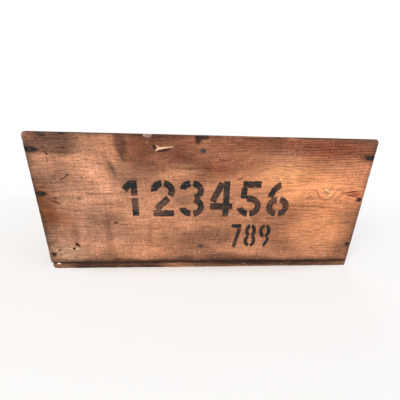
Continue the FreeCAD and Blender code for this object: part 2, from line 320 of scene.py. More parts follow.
SOOT_AND_SHADE, IRON, RESIN, BARE, BROWN_AND_SHADE = "#2A201D", "#4A3B36", "#7A3A28", "#E3BE98", "#A07868"
PALE, PINK, ORANGE, COOL = "#B4B0AA", "#AEB0B4", "#FFF1E4", "#E4EEFA"
# stains and dirt on the front, with patches of painted shade among them
FRONT_STAINS_AND_SHADE = (
    # a darker panel at the upper left, with cracks in its dirt
    Mark(-239, 95, 98, 46, "#857872", 0.85, square=True),
    Mark(-225, 79, 56, 7, "#6E5044", 0.6),
    *group(
        SOOT_AND_SHADE,
        (-250, 103.5, 17, 8, 0.75),
        (-220, 105.5, 24, 6, 0.75),
        (-265, 93, 8, 2.6, 0.8, 25),
        (-252, 87, 7, 4, 0.8),
        (-249, 77.5, 9, 3.2, 1.0, -45),
        (-248, 76.5, 8, 2.6, 1.0, 40),
        (-239, 81, 7, 3, 0.9, -35),
    ),
    Mark(-249.5, 69, 15, 2.6, "#5A3F35", 0.7, turn=90),
    # a rubbed smudge, a slanting one and short dark dashes
    Mark(-153.5, 59, 54, 15, "#685C58", 0.7, turn=-67, crisp=0.0),
    Mark(55, 43, 14, 4, "#342A28", 0.95, turn=27),
    Mark(-156, -32.5, 10, 6.5, "#38302F", 1.0),
    *group("#6A4A3C", (-149, -35, 14, 2.5, 0.7, -15), (-121.5, -36, 9, 2, 0.55), (-281, -40, 7, 70, 0.8)),
    Mark(-270, -58, 9, 4.5, "#6B5348", 0.6, turn=15),
    *group(IRON, (-272.5, -90.5, 16, 8, 0.6), (-278, 23, 9, 3.5, 0.9), (-276, 14.8, 10, 8, 0.6)),
    *group("#5A4038", (-202, 68, 4, 3, 0.6), (-201.7, 43.4, 4.5, 3, 0.6), (-281, 30, 9, 60, 0.9)),
    Mark(-265.5, 16, 15, 8.5, SOOT_AND_SHADE, 1.0, crisp=0.4),
    Mark(-266, 27, 18, 9, "#8A5A55", 0.6),
    # red resin lines
    *group(
        RESIN,
        (-205.4, -15.6, 12, 2, 0.8),
        (-249, 9, 14, 5, 0.8, -20),
        (-250, 3, 27, 4.6, 1.0, -25),
        (-240, 12, 20, 2.5, 0.5, 20),
        (-236, -9, 30, 2.5, 0.5, -14),
    ),
    Mark(30, 71.6, 40, 2.6, "#6A2E1E", 0.85, turn=7),
    *group("#7A2E20", (255, 23.5, 40, 3.4, 1.0, 9), (256.5, 17, 42, 3.4, 1.0, -13)),
    Mark(264, 20, 34, 13, "#B4604C", 0.8),
    # hairline cracks
    *group(SOOT_AND_SHADE, (-230.5, 41, 29, 2.2, 1.0, 31), (-224, 45.5, 12, 3.0, 1.0, 34)),
    *group("#6A4636", (32.5, -14, 46, 2.0, 0.6, 78), (21, -56, 42, 2.0, 0.75, 71)),
    Mark(42, -61, 14, 2.4, "#5A3A2C", 0.6, turn=80),
    # grime in the bottom joint and on the upper arris, and wider dark patches above the joint that are partly
    # painted shade
    Mark(0, -108, 900, 16, "#4F382E", 0.75),
    Mark(0, -109, 2000, 6, "#4A3A33", 0.65),
    *group(
        "#46312A",
        # partly grime and partly painted shade
        (95, -103, 130, 22, 0.55),
        (-60, -107, 120, 12, 0.4),
        (-160, -102, 24, 10, 0.6),
        (-138, -103, 46, 9, 0.5),
        (-81, -103, 40, 10, 0.3),
        (-37, -101, 60, 14, 0.5),
        # partly grime and partly painted shade
        (33, -98, 110, 22, 0.6),
    ),
    *group("#4E3A32", (-185, 108, 220, 5, 0.9), (190, 108, 210, 6, 0.9)),
    *group("#5A4034", (-9, 105, 32, 11, 1.0, 0, 0.5), (-16, 100, 13, 15, 1.0, 0, 0.4), (14.8, 78, 5, 6, 0.6)),
    # painted shade in the depths of the torn holes, and a painted shadow under the lifted splinter
    *group(
        SOOT_AND_SHADE,
        (-226.9, -74.8, 11, 5, 1.1, -26, 0.5),
        (-228.7, -71.8, 8, 4, 1.1, 35, 0.5),
        (-233.8, -80.9, 7, 5, 1.1, 0, 0.5),
        (-84, 89.5, 7, 5, 1.0, 0, 0.4),
        (-83, 86, 5, 4, 1.0, 0, 0.4),
    ),
    # painted shadow that the lifted splinter casts on the face
    Mark(-68, 84.6, 32, 4.6, "#3A1A14", 1.0, turn=9),
    # browner and darker parts of the front, partly old surface and partly painted shade of dappled light
    # a slanting band of painted shade from dappled light, and a browner patch below it that is partly painted
    # shade
    *group("#80635A", (-136, 93, 62, 26, 0.8, -78, 0.35), (-84, 60, 104, 32, 0.55)),
    # the dark left edge of that band of painted shade
    Mark(-135, 75, 24, 6, "#5A4038", 0.6, turn=-66),
    # painted shade beside the band, drawn as a brown square
    Mark(-80, 90, 160, 74, BROWN_AND_SHADE, 0.74, crisp=0.1, square=True),
    # browner zones along the top: partly old surface, partly painted shade
    *group(BROWN_AND_SHADE, (86, 98, 300, 44, 0.8), (28, 68, 200, 62, 0.62, -5), (8, 52, 100, 50, 0.35)),
    *group("#B89468", (-272, -4, 64, 116, 0.9, 0, 0.3), (-244, -27, 76, 46, 0.6, -12)),
    Mark(-278, 76, 30, 60, "#857872", 0.6),
    # soft grey bands, near upright across the grain at the lower left: painted shadows of dappled light
    *group(
        "#9A8678",
        (-227, -52, 64, 26, 0.5, 85),
        (-170, -57, 110, 22, 0.5, 88),
        (-99, -56, 74, 18, 0.4, 86),
    ),
    Mark(215, 92, 200, 52, "#BE8C78", 0.8),
    # the wood is more orange towards the right and duller towards the left
    Mark(260, 10, 640, 330, ORANGE, 1.0),
    Mark(-300, -10, 600, 360, COOL, 1.0),
)
FRONT_PALE_AND_SUNLIT = (
    # paler parts of the front, partly cleaner old surface and partly painted pools of dappled sunlight
    *group(
        PINK,
        (-168, 34, 180, 48, 0.75, -52),
        (-230, 28, 80, 70, 0.4),
        (-192, -6, 110, 64, 0.5, -40),
        (-210, -60, 170, 100, 1.0),
        (-236, -88, 120, 64, 1.1),
        blend=Blend.BLEACH,
    ),
    *group("#BAB6AE", (175, 30, 290, 120, 1.0, -8, 0.15), (205, -48, 180, 140, 0.9, 20), blend=Blend.BLEACH),
    *group(PALE, (-70, -78, 150, 44, 0.55), (60, -30, 120, 60, 0.3), blend=Blend.BLEACH),
    # a warm orange glow towards the right: painted sunlight, partly a more orange old surface
    *group(
        "#EFB07E",
        (165, 34, 280, 110, 0.4, -8),
        (124, 50, 120, 50, 0.5),
        (210, -44, 160, 130, 0.4, 20),
        blend=Blend.COVER,
    ),
    Mark(-246, -88, 90, 50, BARE, 0.3, blend=Blend.COVER),
    # a lighter patch inside the painted shade by the splinter: partly painted light
    Mark(-112, 88, 36, 38, "#C87E58", 0.35, blend=Blend.COVER),
    Mark(-272, -77, 6, 5.5, BARE, 0.5, blend=Blend.COVER),
    # scuffs to bare wood and thin scratches
    Mark(-93, 107, 17, 11, "#F0DED2", 1.2, crisp=0.5, blend=Blend.COVER),
    *group(
        BARE,
        (-94.6, 95, 4.5, 13, 0.55),
        (-157.6, -63, 8, 1.5, 0.75),
        (-138, -63, 10, 1.5, 0.75),
        (-93, -58.5, 19, 1.6, 0.6, -71),
        (-246, -80, 20, 2.2, 0.7, -12),
        (-32, 63, 38, 7, 0.35, 5),
        (-22, 54, 30, 5, 0.3, 8),
        (209, 71, 13, 6, 0.3, 30),
        (75, -20, 34, 11, 0.45, -50),
        (53, 3, 16, 5, 0.45, 50),
        (40, -18, 28, 8, 0.4),
        (-27, -30, 5, 13, 0.55),
        blend=Blend.COVER,
    ),
)
# where the year lines show most, on the right
FRONT_BOLD = group(BARE, (205, 78, 330, 80, 0.7), (170, 12, 240, 90, 0.45))
# pale specks, along and across
SPECKS = (
    (-186, -76.4), (-62, -54), (-69, -85), (-56, -78), (125, 43), (214, -73.5), (234, -97),
    (-9.6, -89), (3.6, -93),
)
# the swirl of pale flecks on an overgrown knot: along, across, length and turn
SWIRL = (
    (205, 19, 7, 20), (213, 24, 8, -30), (217, 17, 5, 0), (208, 27, 5, 0), (203, 24, 4, 50),
    (212, 13.5, 6, 10), (219, 23, 5, 70), (209, 21, 4, -60),
)
# mottled parts of the front: along, across, length and width, and how many flecks
MOTTLED = ((-236, 94, 80, 38, 46), (-246, -90, 44, 26, 22), (200, 92, 140, 34, 12))
# how far the bottom board's front edge is from its middle
STRIP = 61.15
STRIP_MARKS = (
    # soot in the joint, grime that is partly painted shade towards the right, a bleached part and flecks
    # knocked to bare wood
    Mark(0, STRIP, 2000, 10, "#4A3C36", 1.0, through=6.0, reach=5.0),
    Mark(-160, STRIP, 190, 16, "#84766E", 1.0, crisp=0.5, square=True, through=2.0, reach=14.0),
    # these two darken the strip's middle and right: partly grime, partly painted shade
    Mark(120, STRIP, 380, 14, "#8A7468", 0.9, crisp=0.5, through=4.0, reach=9.0),
    Mark(95, STRIP, 160, 12, "#6A5248", 0.8, through=2.0),
    Mark(-40, STRIP, 170, 14, PALE, 0.5, blend=Blend.BLEACH, through=0.0, reach=9.0),
    Mark(-266.6, STRIP, 8, 4, "#F3E4D0", 1.1, crisp=0.5, blend=Blend.COVER, through=4.0, reach=1.7),
    Mark(76, STRIP, 9, 4, BARE, 0.6, blend=Blend.COVER, through=0.3, reach=1.8),
    Mark(-20, STRIP, 5, 4, BARE, 0.5, blend=Blend.COVER, through=-3.0, reach=1.5),
    Mark(150, STRIP, 6, 4, BARE, 0.45, blend=Blend.COVER, through=-1.0, reach=1.4),
)
# kinds of mark that age and use leave anywhere: a browner and a paler zone, a rubbed smudge, a scratch to
# bare wood and a short dark crack
BROWNED = Mark(0, 0, 150, 64, BROWN_AND_SHADE, 0.6)
PALED = Mark(0, 0, 150, 56, PALE, 0.7, blend=Blend.BLEACH)
SMUDGE = Mark(0, 0, 60, 22, "#7A665E", 0.6)
SCRATCH = Mark(0, 0, 26, 1.8, BARE, 0.7, blend=Blend.COVER)
DASH = Mark(0, 0, 16, 2.2, SOOT_AND_SHADE, 0.8)
SCATTER = (SMUDGE, SCRATCH, DASH) * 2 + (SCRATCH,) + (BROWNED, PALED) * 2


@dataclass(frozen=True)
class Knot:
    """Where a branch was, in mm along and across from the board's middle: the rings flow round it.

    Its eye is how dark the branch itself shows, from 0 for an overgrown one.
    """

    along: float
    across: float
    radius: float
    eye: float = 1.0


# a knot is longer along the grain than across it, and goes right through any board
KNOT_STRETCH, THROUGH = 1.3, 400.0
# how far the board's rings swell round a knot, in its radii, and by how much
SWELL_REACH, SWELL = 3.2, 1.1
# how many radians of its own rings a knot has to a radius
KNOT_RINGS = 17.0
# a knot's halo, bark, core and heart: the distances in radii that give none and the most of it, the most
# and the colour
KNOT_COLOURS = (
    ((2.4, 1.3), 0.5, "#7A4630"),
    ((1.5, 1.32), 0.85, "#2C1B16"),
    ((1.3, 1.0), 0.75, "#8C5638"),
    ((0.75, 0.4), 0.6, "#4A2A1E"),
)


@dataclass(frozen=True)
class Streaks:
    """Fibres, pores or bands of one size, in mm along and across the grain, and how they shade the wood."""

    along: float
    across: float
    detail: float
    ends: tuple[float, float]
    levels: tuple[float, float]
    relief: float = 0.0


# how a log's rings wander: the length and width of a bend, and the most that it moves them, in mm
WANDER = ((300, 80, 12), (45, 12, 2.2))
# the share of a year at which late wood starts to show, and at which it is darkest
LATE_START, LATE_FULL = 0.45, 0.88
# real fibres are some tenths of a millimetre wide, too fine to show, so they are drawn 1.6 to 2.6 mm wide
STREAKS = (
    Streaks(46, 2.2, 3.0, (0.35, 0.65), (0.91, 1.08), 0.16),
    Streaks(70, 2.6, 1.0, (0.6, 0.7), (1.0, 0.72), -0.14),
    Streaks(40, 2.6, 1.0, (0.6, 0.72), (1.0, 1.12)),
    Streaks(4.5, 40, 2.0, (0.33, 0.67), (0.92, 1.08)),
    Streaks(2.6, 1.7, 1.0, (0.3, 0.7), (0.79, 1.2)),
    Streaks(20, 1.8, 1.0, (0.58, 0.7), (1.0, 0.62)),
    Streaks(15, 1.8, 1.0, (0.6, 0.72), (1.0, 1.3)),
    Streaks(9, 1.6, 1.0, (0.68, 0.74), (1.0, 0.55)),
)


class WoodSheet(NodeSheet):
    """The nodes of one board's wood, with the place on the board in mm along, through and across it."""

    def __init__(self, name: str, middle: Vector, grain: Grain, seed: float) -> None:
        """Makes the material and finds the place on the board.

        Args:
            name: The material's name.
            middle: The board's middle, in metres.
            grain: How the board lies.
            seed: What makes its noise its own.
        """
        super().__init__(bpy.data.materials.new(name))
        self.seed = seed
        self.board = self.add(
            "Mapping",
            {
                "Vector": self.add("TexCoord", {}, "Object"),
                "Location": middle,
                "Rotation": grain.value,
                "Scale": (MM, MM, MM),
            },
            vector_type="TEXTURE",
        )

    def speckle(self, along: float, across: float, detail: float = 2.0, out: str = "Fac") -> Socket:
        """Adds noise that is drawn out along the grain.

        Args:
            along: Size of a patch along the grain, in mm.
            across: Size of a patch across the grain, in mm.
            detail: Octaves of finer noise.
            out: Fac for a number, Color for three.

        Returns:
            The noise, 0 to 1.
        """
        stretch = (1 / along, 1 / across, 1 / across)
        drawn = self.add("VectorMath", {0: self.board, 1: stretch}, operation="MULTIPLY")
        start = (self.seed, self.seed * 1.7, along + self.seed)
        moved = self.add("VectorMath", {0: drawn, 1: start}, operation="ADD")
        return self.add("TexNoise", {"Vector": moved, "Scale": 1.0, "Detail": detail, "Roughness": 0.55}, out)

    def shade(
        self, colour: Socket, value: Socket, ends: tuple[float, float], levels: tuple[float, float]
    ) -> Socket:
        """Darkens or lightens a colour by a number.

        Args:
            colour: The colour so far.
            value: The number.
            ends: Two values of the number.
            levels: What the colour is multiplied by at those.

        Returns:
            The new colour.
        """
        inputs = {"Value": value, "From Min": ends[0], "From Max": ends[1]}
        inputs |= {"To Min": levels[0], "To Max": levels[1]}
        level = self.add("MapRange", inputs, **SMOOTH)
        return self.add("HueSaturation", {"Color": colour, "Value": level})

    def tint(
        self, colour: Socket, value: Socket, ends: tuple[float, float], most: float, towards: str
    ) -> Socket:
        """Mixes a second colour in by a number.

        Args:
            colour: The colour so far.
            value: The number.
            ends: The values of the number that give none and the most.
            most: The most of the second colour.
            towards: The second colour.

        Returns:
            The new colour.
        """
        inputs = {"Value": value, "From Min": ends[0], "From Max": ends[1], "To Max": most}
        amount = self.add("MapRange", inputs, **SMOOTH)
        return self.add("MixRGB", {"Fac": amount, "Color1": colour, "Color2": linear(towards)})


@dataclass(frozen=True)
class StencilPaint:
    """Thin black paint dabbed through a stencil: matt, fuzzy at its edges, rubbed off the raised fibres.

    Where it is thin is given by two noises: the patch along and across in mm, the octaves, the values that
    give the least paint and all of it, and the least.
    """

    colour: str = "#0B1216"
    fuzz: tuple[float, float] = (5.0, 3.0)
    fuzziness: float = 0.6
    rubbed: tuple[float, ...] = (9.0, 2.4, 4.0, 0.3, 0.44, 0.66)
    dabbed: tuple[float, ...] = (55.0, 30.0, 2.0, 0.35, 0.6, 0.8)

    def over(self, sheet: WoodSheet, colour: Socket) -> Socket:
        """Lays the paint on wood where the board's own attribute says.

        Args:
            sheet: The wood's nodes.
            colour: The colour so far.

        Returns:
            The new colour.
        """
        cover = sheet.add("Attribute", {}, "Fac", attribute_name=STENCIL)
        fuzz = sheet.speckle(*self.fuzz, 3.0)
        edge = sheet.add("Math", {0: fuzz, 1: self.fuzziness, 2: cover}, operation="MULTIPLY_ADD")
        amount = sheet.add("MapRange", {"Value": edge, "From Min": 0.7, "From Max": 0.88}, **SMOOTH)
        for along, across, detail, thin, full, least in (self.rubbed, self.dabbed):
            noise = sheet.speckle(along, across, detail)
            left = {"Value": noise, "From Min": thin, "From Max": full, "To Min": least}
            left = sheet.add("MapRange", left, **SMOOTH)
            amount = sheet.add("Math", {0: amount, 1: left}, operation="MULTIPLY")
        return sheet.add("MixRGB", {"Fac": amount, "Color1": colour, "Color2": linear(self.colour)})


@dataclass(frozen=True)
class Softwood:
    """Old pine: sawn, bare and long in the weather, so brown on top of its orange, with dirt in its fibres.

    The rings are circles about the pith of the log, so faces show lines and arches, and ends show arcs.
    """

    name: str
    grain: Grain
    lowest: Vector
    highest: Vector
    pith_depth: float
    pith_height: float
    pith_swing: float
    pith_slope: float = 0.0
    ring_width: float = 4.6
    uneven: float = 6.0
    uneven_run: float = 17.0
    lines: tuple[float, float] = (0.2, 0.6)
    early: str = "#B67E5E"
    late: str = "#5E3022"
    brown: str = "#70432F"
    grey: str = "#80614F"
    clean: str = "#C79E78"
    brightness: float = 1.0
    patchy: float = 0.65
    inside: float = 1.35
    saw_marks: float = 0.02
    saw_step: float = 9.0
    face: float = -1.0
    seed: float = 0.0
    knots: tuple[Knot, ...] = ()
    marks: tuple[Mark, ...] = ()
    bold: tuple[Mark, ...] = ()
    paint: StencilPaint | None = None

    def half(self) -> Vector:
        """Half the board's size along its grain, through it and across it, in mm."""
        return Vector([abs(c) for c in self.grain.flat(self.highest - self.lowest) / 2 / MM])

    def knot_step(self, sheet: WoodSheet, knot: Knot) -> Socket:
        """Measures from a knot, which is longer along the grain and goes right through the board.

        Args:
            sheet: The wood's nodes.
            knot: The knot.

        Returns:
            How far a place is from the knot's middle: 1 at its rim.
        """
        half = (knot.radius * KNOT_STRETCH, THROUGH, knot.radius)
        oval = {"Vector": sheet.board, "Location": (knot.along, 0, knot.across), "Scale": half}
        step = sheet.add("Mapping", oval, vector_type="TEXTURE")
        return sheet.add("VectorMath", {0: step}, "Value", operation="LENGTH")

    def rings(self, sheet: WoodSheet) -> Socket:
        """Draws the log's year rings, pale early wood that darkens to a sharp line of late wood.

        Args:
            sheet: The wood's nodes.

        Returns:
            0 in early wood to 1 in late wood.
        """
        middle = (0, self.pith_depth, self.pith_height)
        turned = (0.0, math.radians(self.pith_slope), math.radians(self.pith_swing))
        pith = {"Vector": sheet.board, "Location": middle, "Rotation": turned}
        log = sheet.add("Mapping", pith, vector_type="TEXTURE")
        for along, across, most in WANDER:
            wander = sheet.speckle(along, across, 1.0, "Color")
            log = sheet.add("VectorMath", {0: wander, 1: (0, most, most), 2: log}, operation="MULTIPLY_ADD")
        flat = sheet.add("VectorMath", {0: log, 1: (0, 1, 1)}, operation="MULTIPLY")
        radius = sheet.add("VectorMath", {0: flat}, "Value", operation="LENGTH")
        for knot in self.knots:
            step = self.knot_step(sheet, knot)
            swell = {"Value": step, "From Max": SWELL_REACH, "To Min": knot.radius * SWELL, "To Max": 0.0}
            swell = sheet.add("MapRange", swell, **SMOOTH)
            radius = sheet.add("Math", {0: radius, 1: swell}, operation="ADD")
        years = sheet.add("Math", {0: radius, 1: 1 / self.uneven_run}, operation="MULTIPLY")
        uneven = sheet.add("TexNoise", {"W": years, "Scale": 1.0, "Detail": 1.0}, noise_dimensions="1D")
        spread = sheet.add("Math", {0: uneven, 1: self.uneven, 2: radius}, operation="MULTIPLY_ADD")
        turns = sheet.add("Math", {0: spread, 1: self.ring_width}, operation="DIVIDE")
        year = sheet.add("Math", {0: turns}, operation="FRACT")
        late = {"Value": year, "From Max": LATE_FULL}
        darkens = sheet.add("MapRange", late | {"From Min": LATE_START}, **SMOOTH)
        stops = sheet.add("MapRange", late | {"From Min": 1.0}, **SMOOTH)
        return sheet.add("Math", {0: darkens, 1: stops}, operation="MULTIPLY")

    def extent(self, sheet: WoodSheet, place: Socket, mark: Mark) -> Socket:
        """Works out where a mark is.

        Args:
            sheet: The wood's nodes.
            place: Place on the board in mm.
            mark: The mark.

        Returns:
            The mark's strength within it, to 0 outside.
        """
        depth = self.face * self.half().y if mark.through is None else mark.through
        oval = {
            "Vector": place,
            "Location": (mark.along, depth, mark.across),
            "Rotation": (0.0, math.radians(-mark.turn), 0.0),
            "Scale": (mark.length / 2, mark.reach, mark.width / 2),
        }
        step = sheet.add("Mapping", oval, vector_type="TEXTURE")
        if mark.square:
            step = sheet.add("VectorMath", {0: step, 1: step}, operation="MULTIPLY")
        near = sheet.add("TexGradient", {"Vector": step}, "Fac", gradient_type="SPHERICAL")
        spread = {"Value": near, "From Max": 1.0 - mark.crisp, "To Max": mark.strength}
        return sheet.add("MapRange", spread, **SMOOTH)

    def figure(self, sheet: WoodSheet) -> tuple[Socket, Socket]:
        """Colours the clean wood by its rings.

        Args:
            sheet: The wood's nodes.

        Returns:
            The colour, and how strongly a year line shows.
        """
        clear = {"Value": sheet.speckle(240, 60), "From Min": 0.35, "From Max": 0.65}
        clear |= {"To Min": self.lines[0], "To Max": self.lines[1]}
        clear = sheet.add("MapRange", clear, **SMOOTH)
        for zone in self.bold:
            shown = self.extent(sheet, sheet.board, zone)
            clear = sheet.add("Math", {0: clear, 1: shown}, operation="ADD")
        lines = sheet.add("Math", {0: self.rings(sheet), 1: clear}, operation="MULTIPLY")
        early, late = linear(self.early), linear(self.late)
        return sheet.add("MixRGB", {"Fac": lines, "Color1": early, "Color2": late}), lines

    def eyes(self, sheet: WoodSheet, colour: Socket) -> Socket:
        """Adds the knots' brown eyes, with their own small rings and dark bark at the rim.

        Args:
            sheet: The wood's nodes.
            colour: The colour so far.

        Returns:
            The new colour.
        """
        rough = sheet.speckle(6, 6, 3.0)
        for knot in self.knots:
            step = self.knot_step(sheet, knot)
            step = sheet.add("Math", {0: rough, 1: 0.7, 2: step}, operation="MULTIPLY_ADD")
            for ends, most, towards in KNOT_COLOURS:
                colour = sheet.tint(colour, step, ends, most * knot.eye, towards)
            ring = sheet.add("Math", {0: step, 1: KNOT_RINGS}, operation="MULTIPLY")
            ring = sheet.add("Math", {0: ring}, operation="SINE")
            core = {"Value": step, "From Min": 1.3, "From Max": 1.1, "To Max": knot.eye}
            core = sheet.add("MapRange", core, **SMOOTH)
            ring = sheet.add("Math", {0: ring, 1: core}, operation="MULTIPLY")
            colour = sheet.shade(colour, ring, (0.0, 1.0), (1.0, 0.62))
        return colour

    def weather(self, sheet: WoodSheet, colour: Socket) -> Socket:
        """Ages the colour: brown streaks, grey and dark patches, a cleaner inside and dust.

        Args:
            sheet: The wood's nodes.
            colour: The colour so far.

        Returns:
            The new colour.
        """
        colour = sheet.tint(colour, sheet.speckle(190, 7, 3.0), (0.45, 0.75), 0.22, self.brown)
        colour = sheet.tint(colour, sheet.speckle(90, 40, 4.0), (0.48, 0.7), 0.3, self.grey)
        levels = (self.patchy * self.brightness, 1.3 * self.brightness)
        colour = sheet.shade(colour, sheet.speckle(120, 70, 3.0), (0.33, 0.67), levels)
        through = sheet.add("SeparateXYZ", {0: sheet.board}, "Y")
        outward = sheet.add("Math", {0: through, 1: self.face / self.half().y}, operation="MULTIPLY")
        colour = sheet.shade(colour, outward, (-1.0, -0.2), (self.inside, 1.0))
        colour = sheet.tint(colour, outward, (-0.2, -1.0), 0.26, self.clean)
        return self.dust(sheet, colour)

    def dust(self, sheet: WoodSheet, colour: Socket) -> Socket:
        """Sprinkles pale specks of dust and dried splashes, up to about 2 mm across.

        Args:
            sheet: The wood's nodes.
            colour: The colour so far.

        Returns:
            The new colour.
        """
        spacing, largest = 13.0, 1.105
        cells = {"Vector": sheet.board, "Scale": 1 / spacing}
        away = sheet.add("TexVoronoi", cells, "Distance")
        draw = sheet.add("SeparateXYZ", {0: sheet.add("TexVoronoi", cells, "Color")}, "X")
        size = {"Value": draw, "From Min": 0.55, "From Max": 1.0, "To Max": largest / spacing}
        size = sheet.add("MapRange", size, **SMOOTH)
        inner = sheet.add("Math", {0: size, 1: away}, operation="SUBTRACT")
        return sheet.tint(colour, inner, (0.0, 0.02), 0.6, BARE)

    def wear(self, sheet: WoodSheet, colour: Socket) -> Socket:
        """Darkens the handled edges and the thirsty end grain.

        Args:
            sheet: The wood's nodes.
            colour: The colour so far.

        Returns:
            The new colour.
        """
        away = sheet.add("VectorMath", {0: sheet.board}, operation="ABSOLUTE")
        away = sheet.add("VectorMath", {0: self.half(), 1: away}, operation="SUBTRACT")
        along = sheet.add("SeparateXYZ", {0: away}, "X")
        across = sheet.add("SeparateXYZ", {0: away}, "Z")
        edge = sheet.add("Math", {0: along, 1: across}, operation="MINIMUM")
        ragged, dark = 16.0, 0.62
        noise = sheet.speckle(60, 14, 3.0)
        edge = sheet.add("Math", {0: noise, 1: -ragged, 2: edge}, operation="MULTIPLY_ADD")
        colour = sheet.shade(colour, edge, (-ragged / 2, 3.0), (dark, 1.0))
        axis = Vector((1, 0, 0))
        axis.rotate(Matrix.Rotation(self.grain.value[2], 3, "Z"))
        facing = sheet.add("TexCoord", {}, "Normal")
        cut = sheet.add("VectorMath", {0: facing, 1: axis}, "Value", operation="DOT_PRODUCT")
        cut = sheet.add("Math", {0: cut}, operation="ABSOLUTE")
        return sheet.shade(colour, cut, (0.55, 0.9), (1.0, dark))

    def add_marks(self, sheet: WoodSheet, colour: Socket) -> Socket:
        """Adds the marks, those of one colour together: the wide ones ragged, the rubbed ones on the fibres.

        Args:
            sheet: The wood's nodes.
            colour: The colour so far.

        Returns:
            The new colour.
        """
        sway = Vector((7.0, 0.0, 3.2))
        tremble = sheet.add("CombineXYZ", {"X": sheet.speckle(9, 4, 3.0), "Z": sheet.speckle(8, 4, 3.0)})
        ragged = {0: tremble, 1: sway, 2: sheet.board}
        ragged = sheet.add("VectorMath", ragged, operation="MULTIPLY_ADD")
        ragged = sheet.add("VectorMath", {0: ragged, 1: -sway / 2}, operation="ADD")
        hold = sheet.speckle(16, 2.0, 3.0)
        grain_grip = {"Value": hold, "From Min": 0.35, "From Max": 0.6, "To Min": 0.8, "To Max": 1.05}
        grain_grip = sheet.add("MapRange", grain_grip, **SMOOTH)
        rubbed = {"Value": hold, "From Min": 0.4, "From Max": 0.6, "To Min": 0.3, "To Max": 1.1}
        rubbed = sheet.add("MapRange", rubbed, **SMOOTH)
        layers: dict[tuple[str, Blend, bool], Socket] = {}
        for mark in self.marks:
            wide = mark.width > 5
            layer = (mark.colour, mark.blend, wide)
            amount = self.extent(sheet, ragged if wide else sheet.board, mark)
            if layer in layers:
                amount = sheet.add("Math", {0: layers[layer], 1: amount}, operation="ADD")
            layers[layer] = amount
        # stains and painted shade darken, bleaching and painted light lighten, each layer held by the grain
        for (stain, blend, _), amount in layers.items():
            grip = rubbed if blend is Blend.COVER else grain_grip
            amount = sheet.add("Math", {0: amount, 1: grip}, operation="MULTIPLY")
            inputs = {"Fac": amount, "Color1": colour, "Color2": linear(stain)}
            colour = sheet.add("MixRGB", inputs, blend_type=blend.value)
        return colour

    def material(self) -> bpy.types.Material:
        """Builds the wood.

        Returns:
            The material.
        """
        sheet = WoodSheet(self.name, (self.lowest + self.highest) / 2, self.grain, self.seed)
        ripples = {"Vector": sheet.board, "Scale": 1 / self.saw_step, "Distortion": 3.0}
        ripples = sheet.add("TexWave", ripples | {"Detail": 2.0, "Detail Scale": 0.4})
        height = sheet.add("Math", {0: ripples, 1: self.saw_marks}, operation="MULTIPLY")
        colour, lines = self.figure(sheet)
        for streaks in STREAKS:
            noise = sheet.speckle(streaks.along, streaks.across, streaks.detail)
            colour = sheet.shade(colour, noise, streaks.ends, streaks.levels)
            if streaks.relief:
                height = sheet.add("Math", {0: noise, 1: streaks.relief, 2: height}, operation="MULTIPLY_ADD")
        height = sheet.add("Math", {0: lines, 1: 0.05, 2: height}, operation="MULTIPLY_ADD")
        relief = sheet.add("Bump", {"Height": height, "Distance": MM, "Strength": 0.8})
        for age in (self.eyes, self.weather, self.wear, self.add_marks):
            colour = age(sheet, colour)
        if self.paint:
            colour = self.paint.over(sheet, colour)
        worn = sheet.speckle(120, 70, 3.0)
        gloss = {"Value": worn, "From Min": 0.3, "From Max": 0.7, "To Min": 0.78, "To Max": 0.62}
        gloss = sheet.add("MapRange", gloss, **SMOOTH)
        return sheet.dress(Base_Color=colour, Roughness=gloss, Normal=relief, Specular_IOR_Level=0.28)


@dataclass(frozen=True)
class Flecked:
    """A finish of two colours, the second in flecks or fibres, sized in mm, that stand a little proud."""

    name: str
    ground: str
    flecks: str
    share: tuple[float, float]
    size: float
    roughness: float
    metallic: float = 0.0
    detail: float = 4.0
    stretch: tuple[float, float, float] = (1.0, 1.0, 1.0)

    def material(self) -> bpy.types.Material:
        """Builds the finish.

        Returns:
            The material.
        """
        sheet = NodeSheet(bpy.data.materials.new(self.name))
        place = sheet.add("TexCoord", {}, "Object")
        drawn = sheet.add("VectorMath", {0: place, 1: self.stretch}, operation="MULTIPLY")
        grit = {"Vector": drawn, "Scale": 1 / (self.size * MM), "Detail": self.detail}
        noise = sheet.add("TexNoise", grit)
        amount = {"Value": noise, "From Min": self.share[0], "From Max": self.share[1]}
        amount = sheet.add("MapRange", amount)
        colours = {"Color1": linear(self.ground), "Color2": linear(self.flecks)}
        colour = sheet.add("MixRGB", {"Fac": amount} | colours)
        relief = sheet.add("Bump", {"Height": noise, "Distance": 0.2 * MM})
        return sheet.dress(Base_Color=colour, Normal=relief, Roughness=self.roughness, Metallic=self.metallic)


# mild steel nail wire, never plated: black scale gone to brown rust in specks about a millimetre across,
# matt, and scarcely a metal to the eye any more
RUSTED_STEEL = Flecked("rusted_steel", "#1A1514", "#3E2A23", (0.42, 0.62), 1.0, 0.72, 0.35)
# the same steel rubbed half bright: dull blue-grey with brown specks
RUBBED_STEEL = Flecked("rubbed_steel", "#4A4850", "#362B28", (0.5, 0.66), 1.0, 0.5, 0.6)
# the inside of a board where it split: pale, dry fibres along the grain that have not browned yet
TORN_PINE = Flecked(
    "torn_pine", "#C98E62", "#FBE0C0", (0.35, 0.65), 0.5, 0.8, detail=3.0, stretch=(0.06, 1.0, 1.0)
)


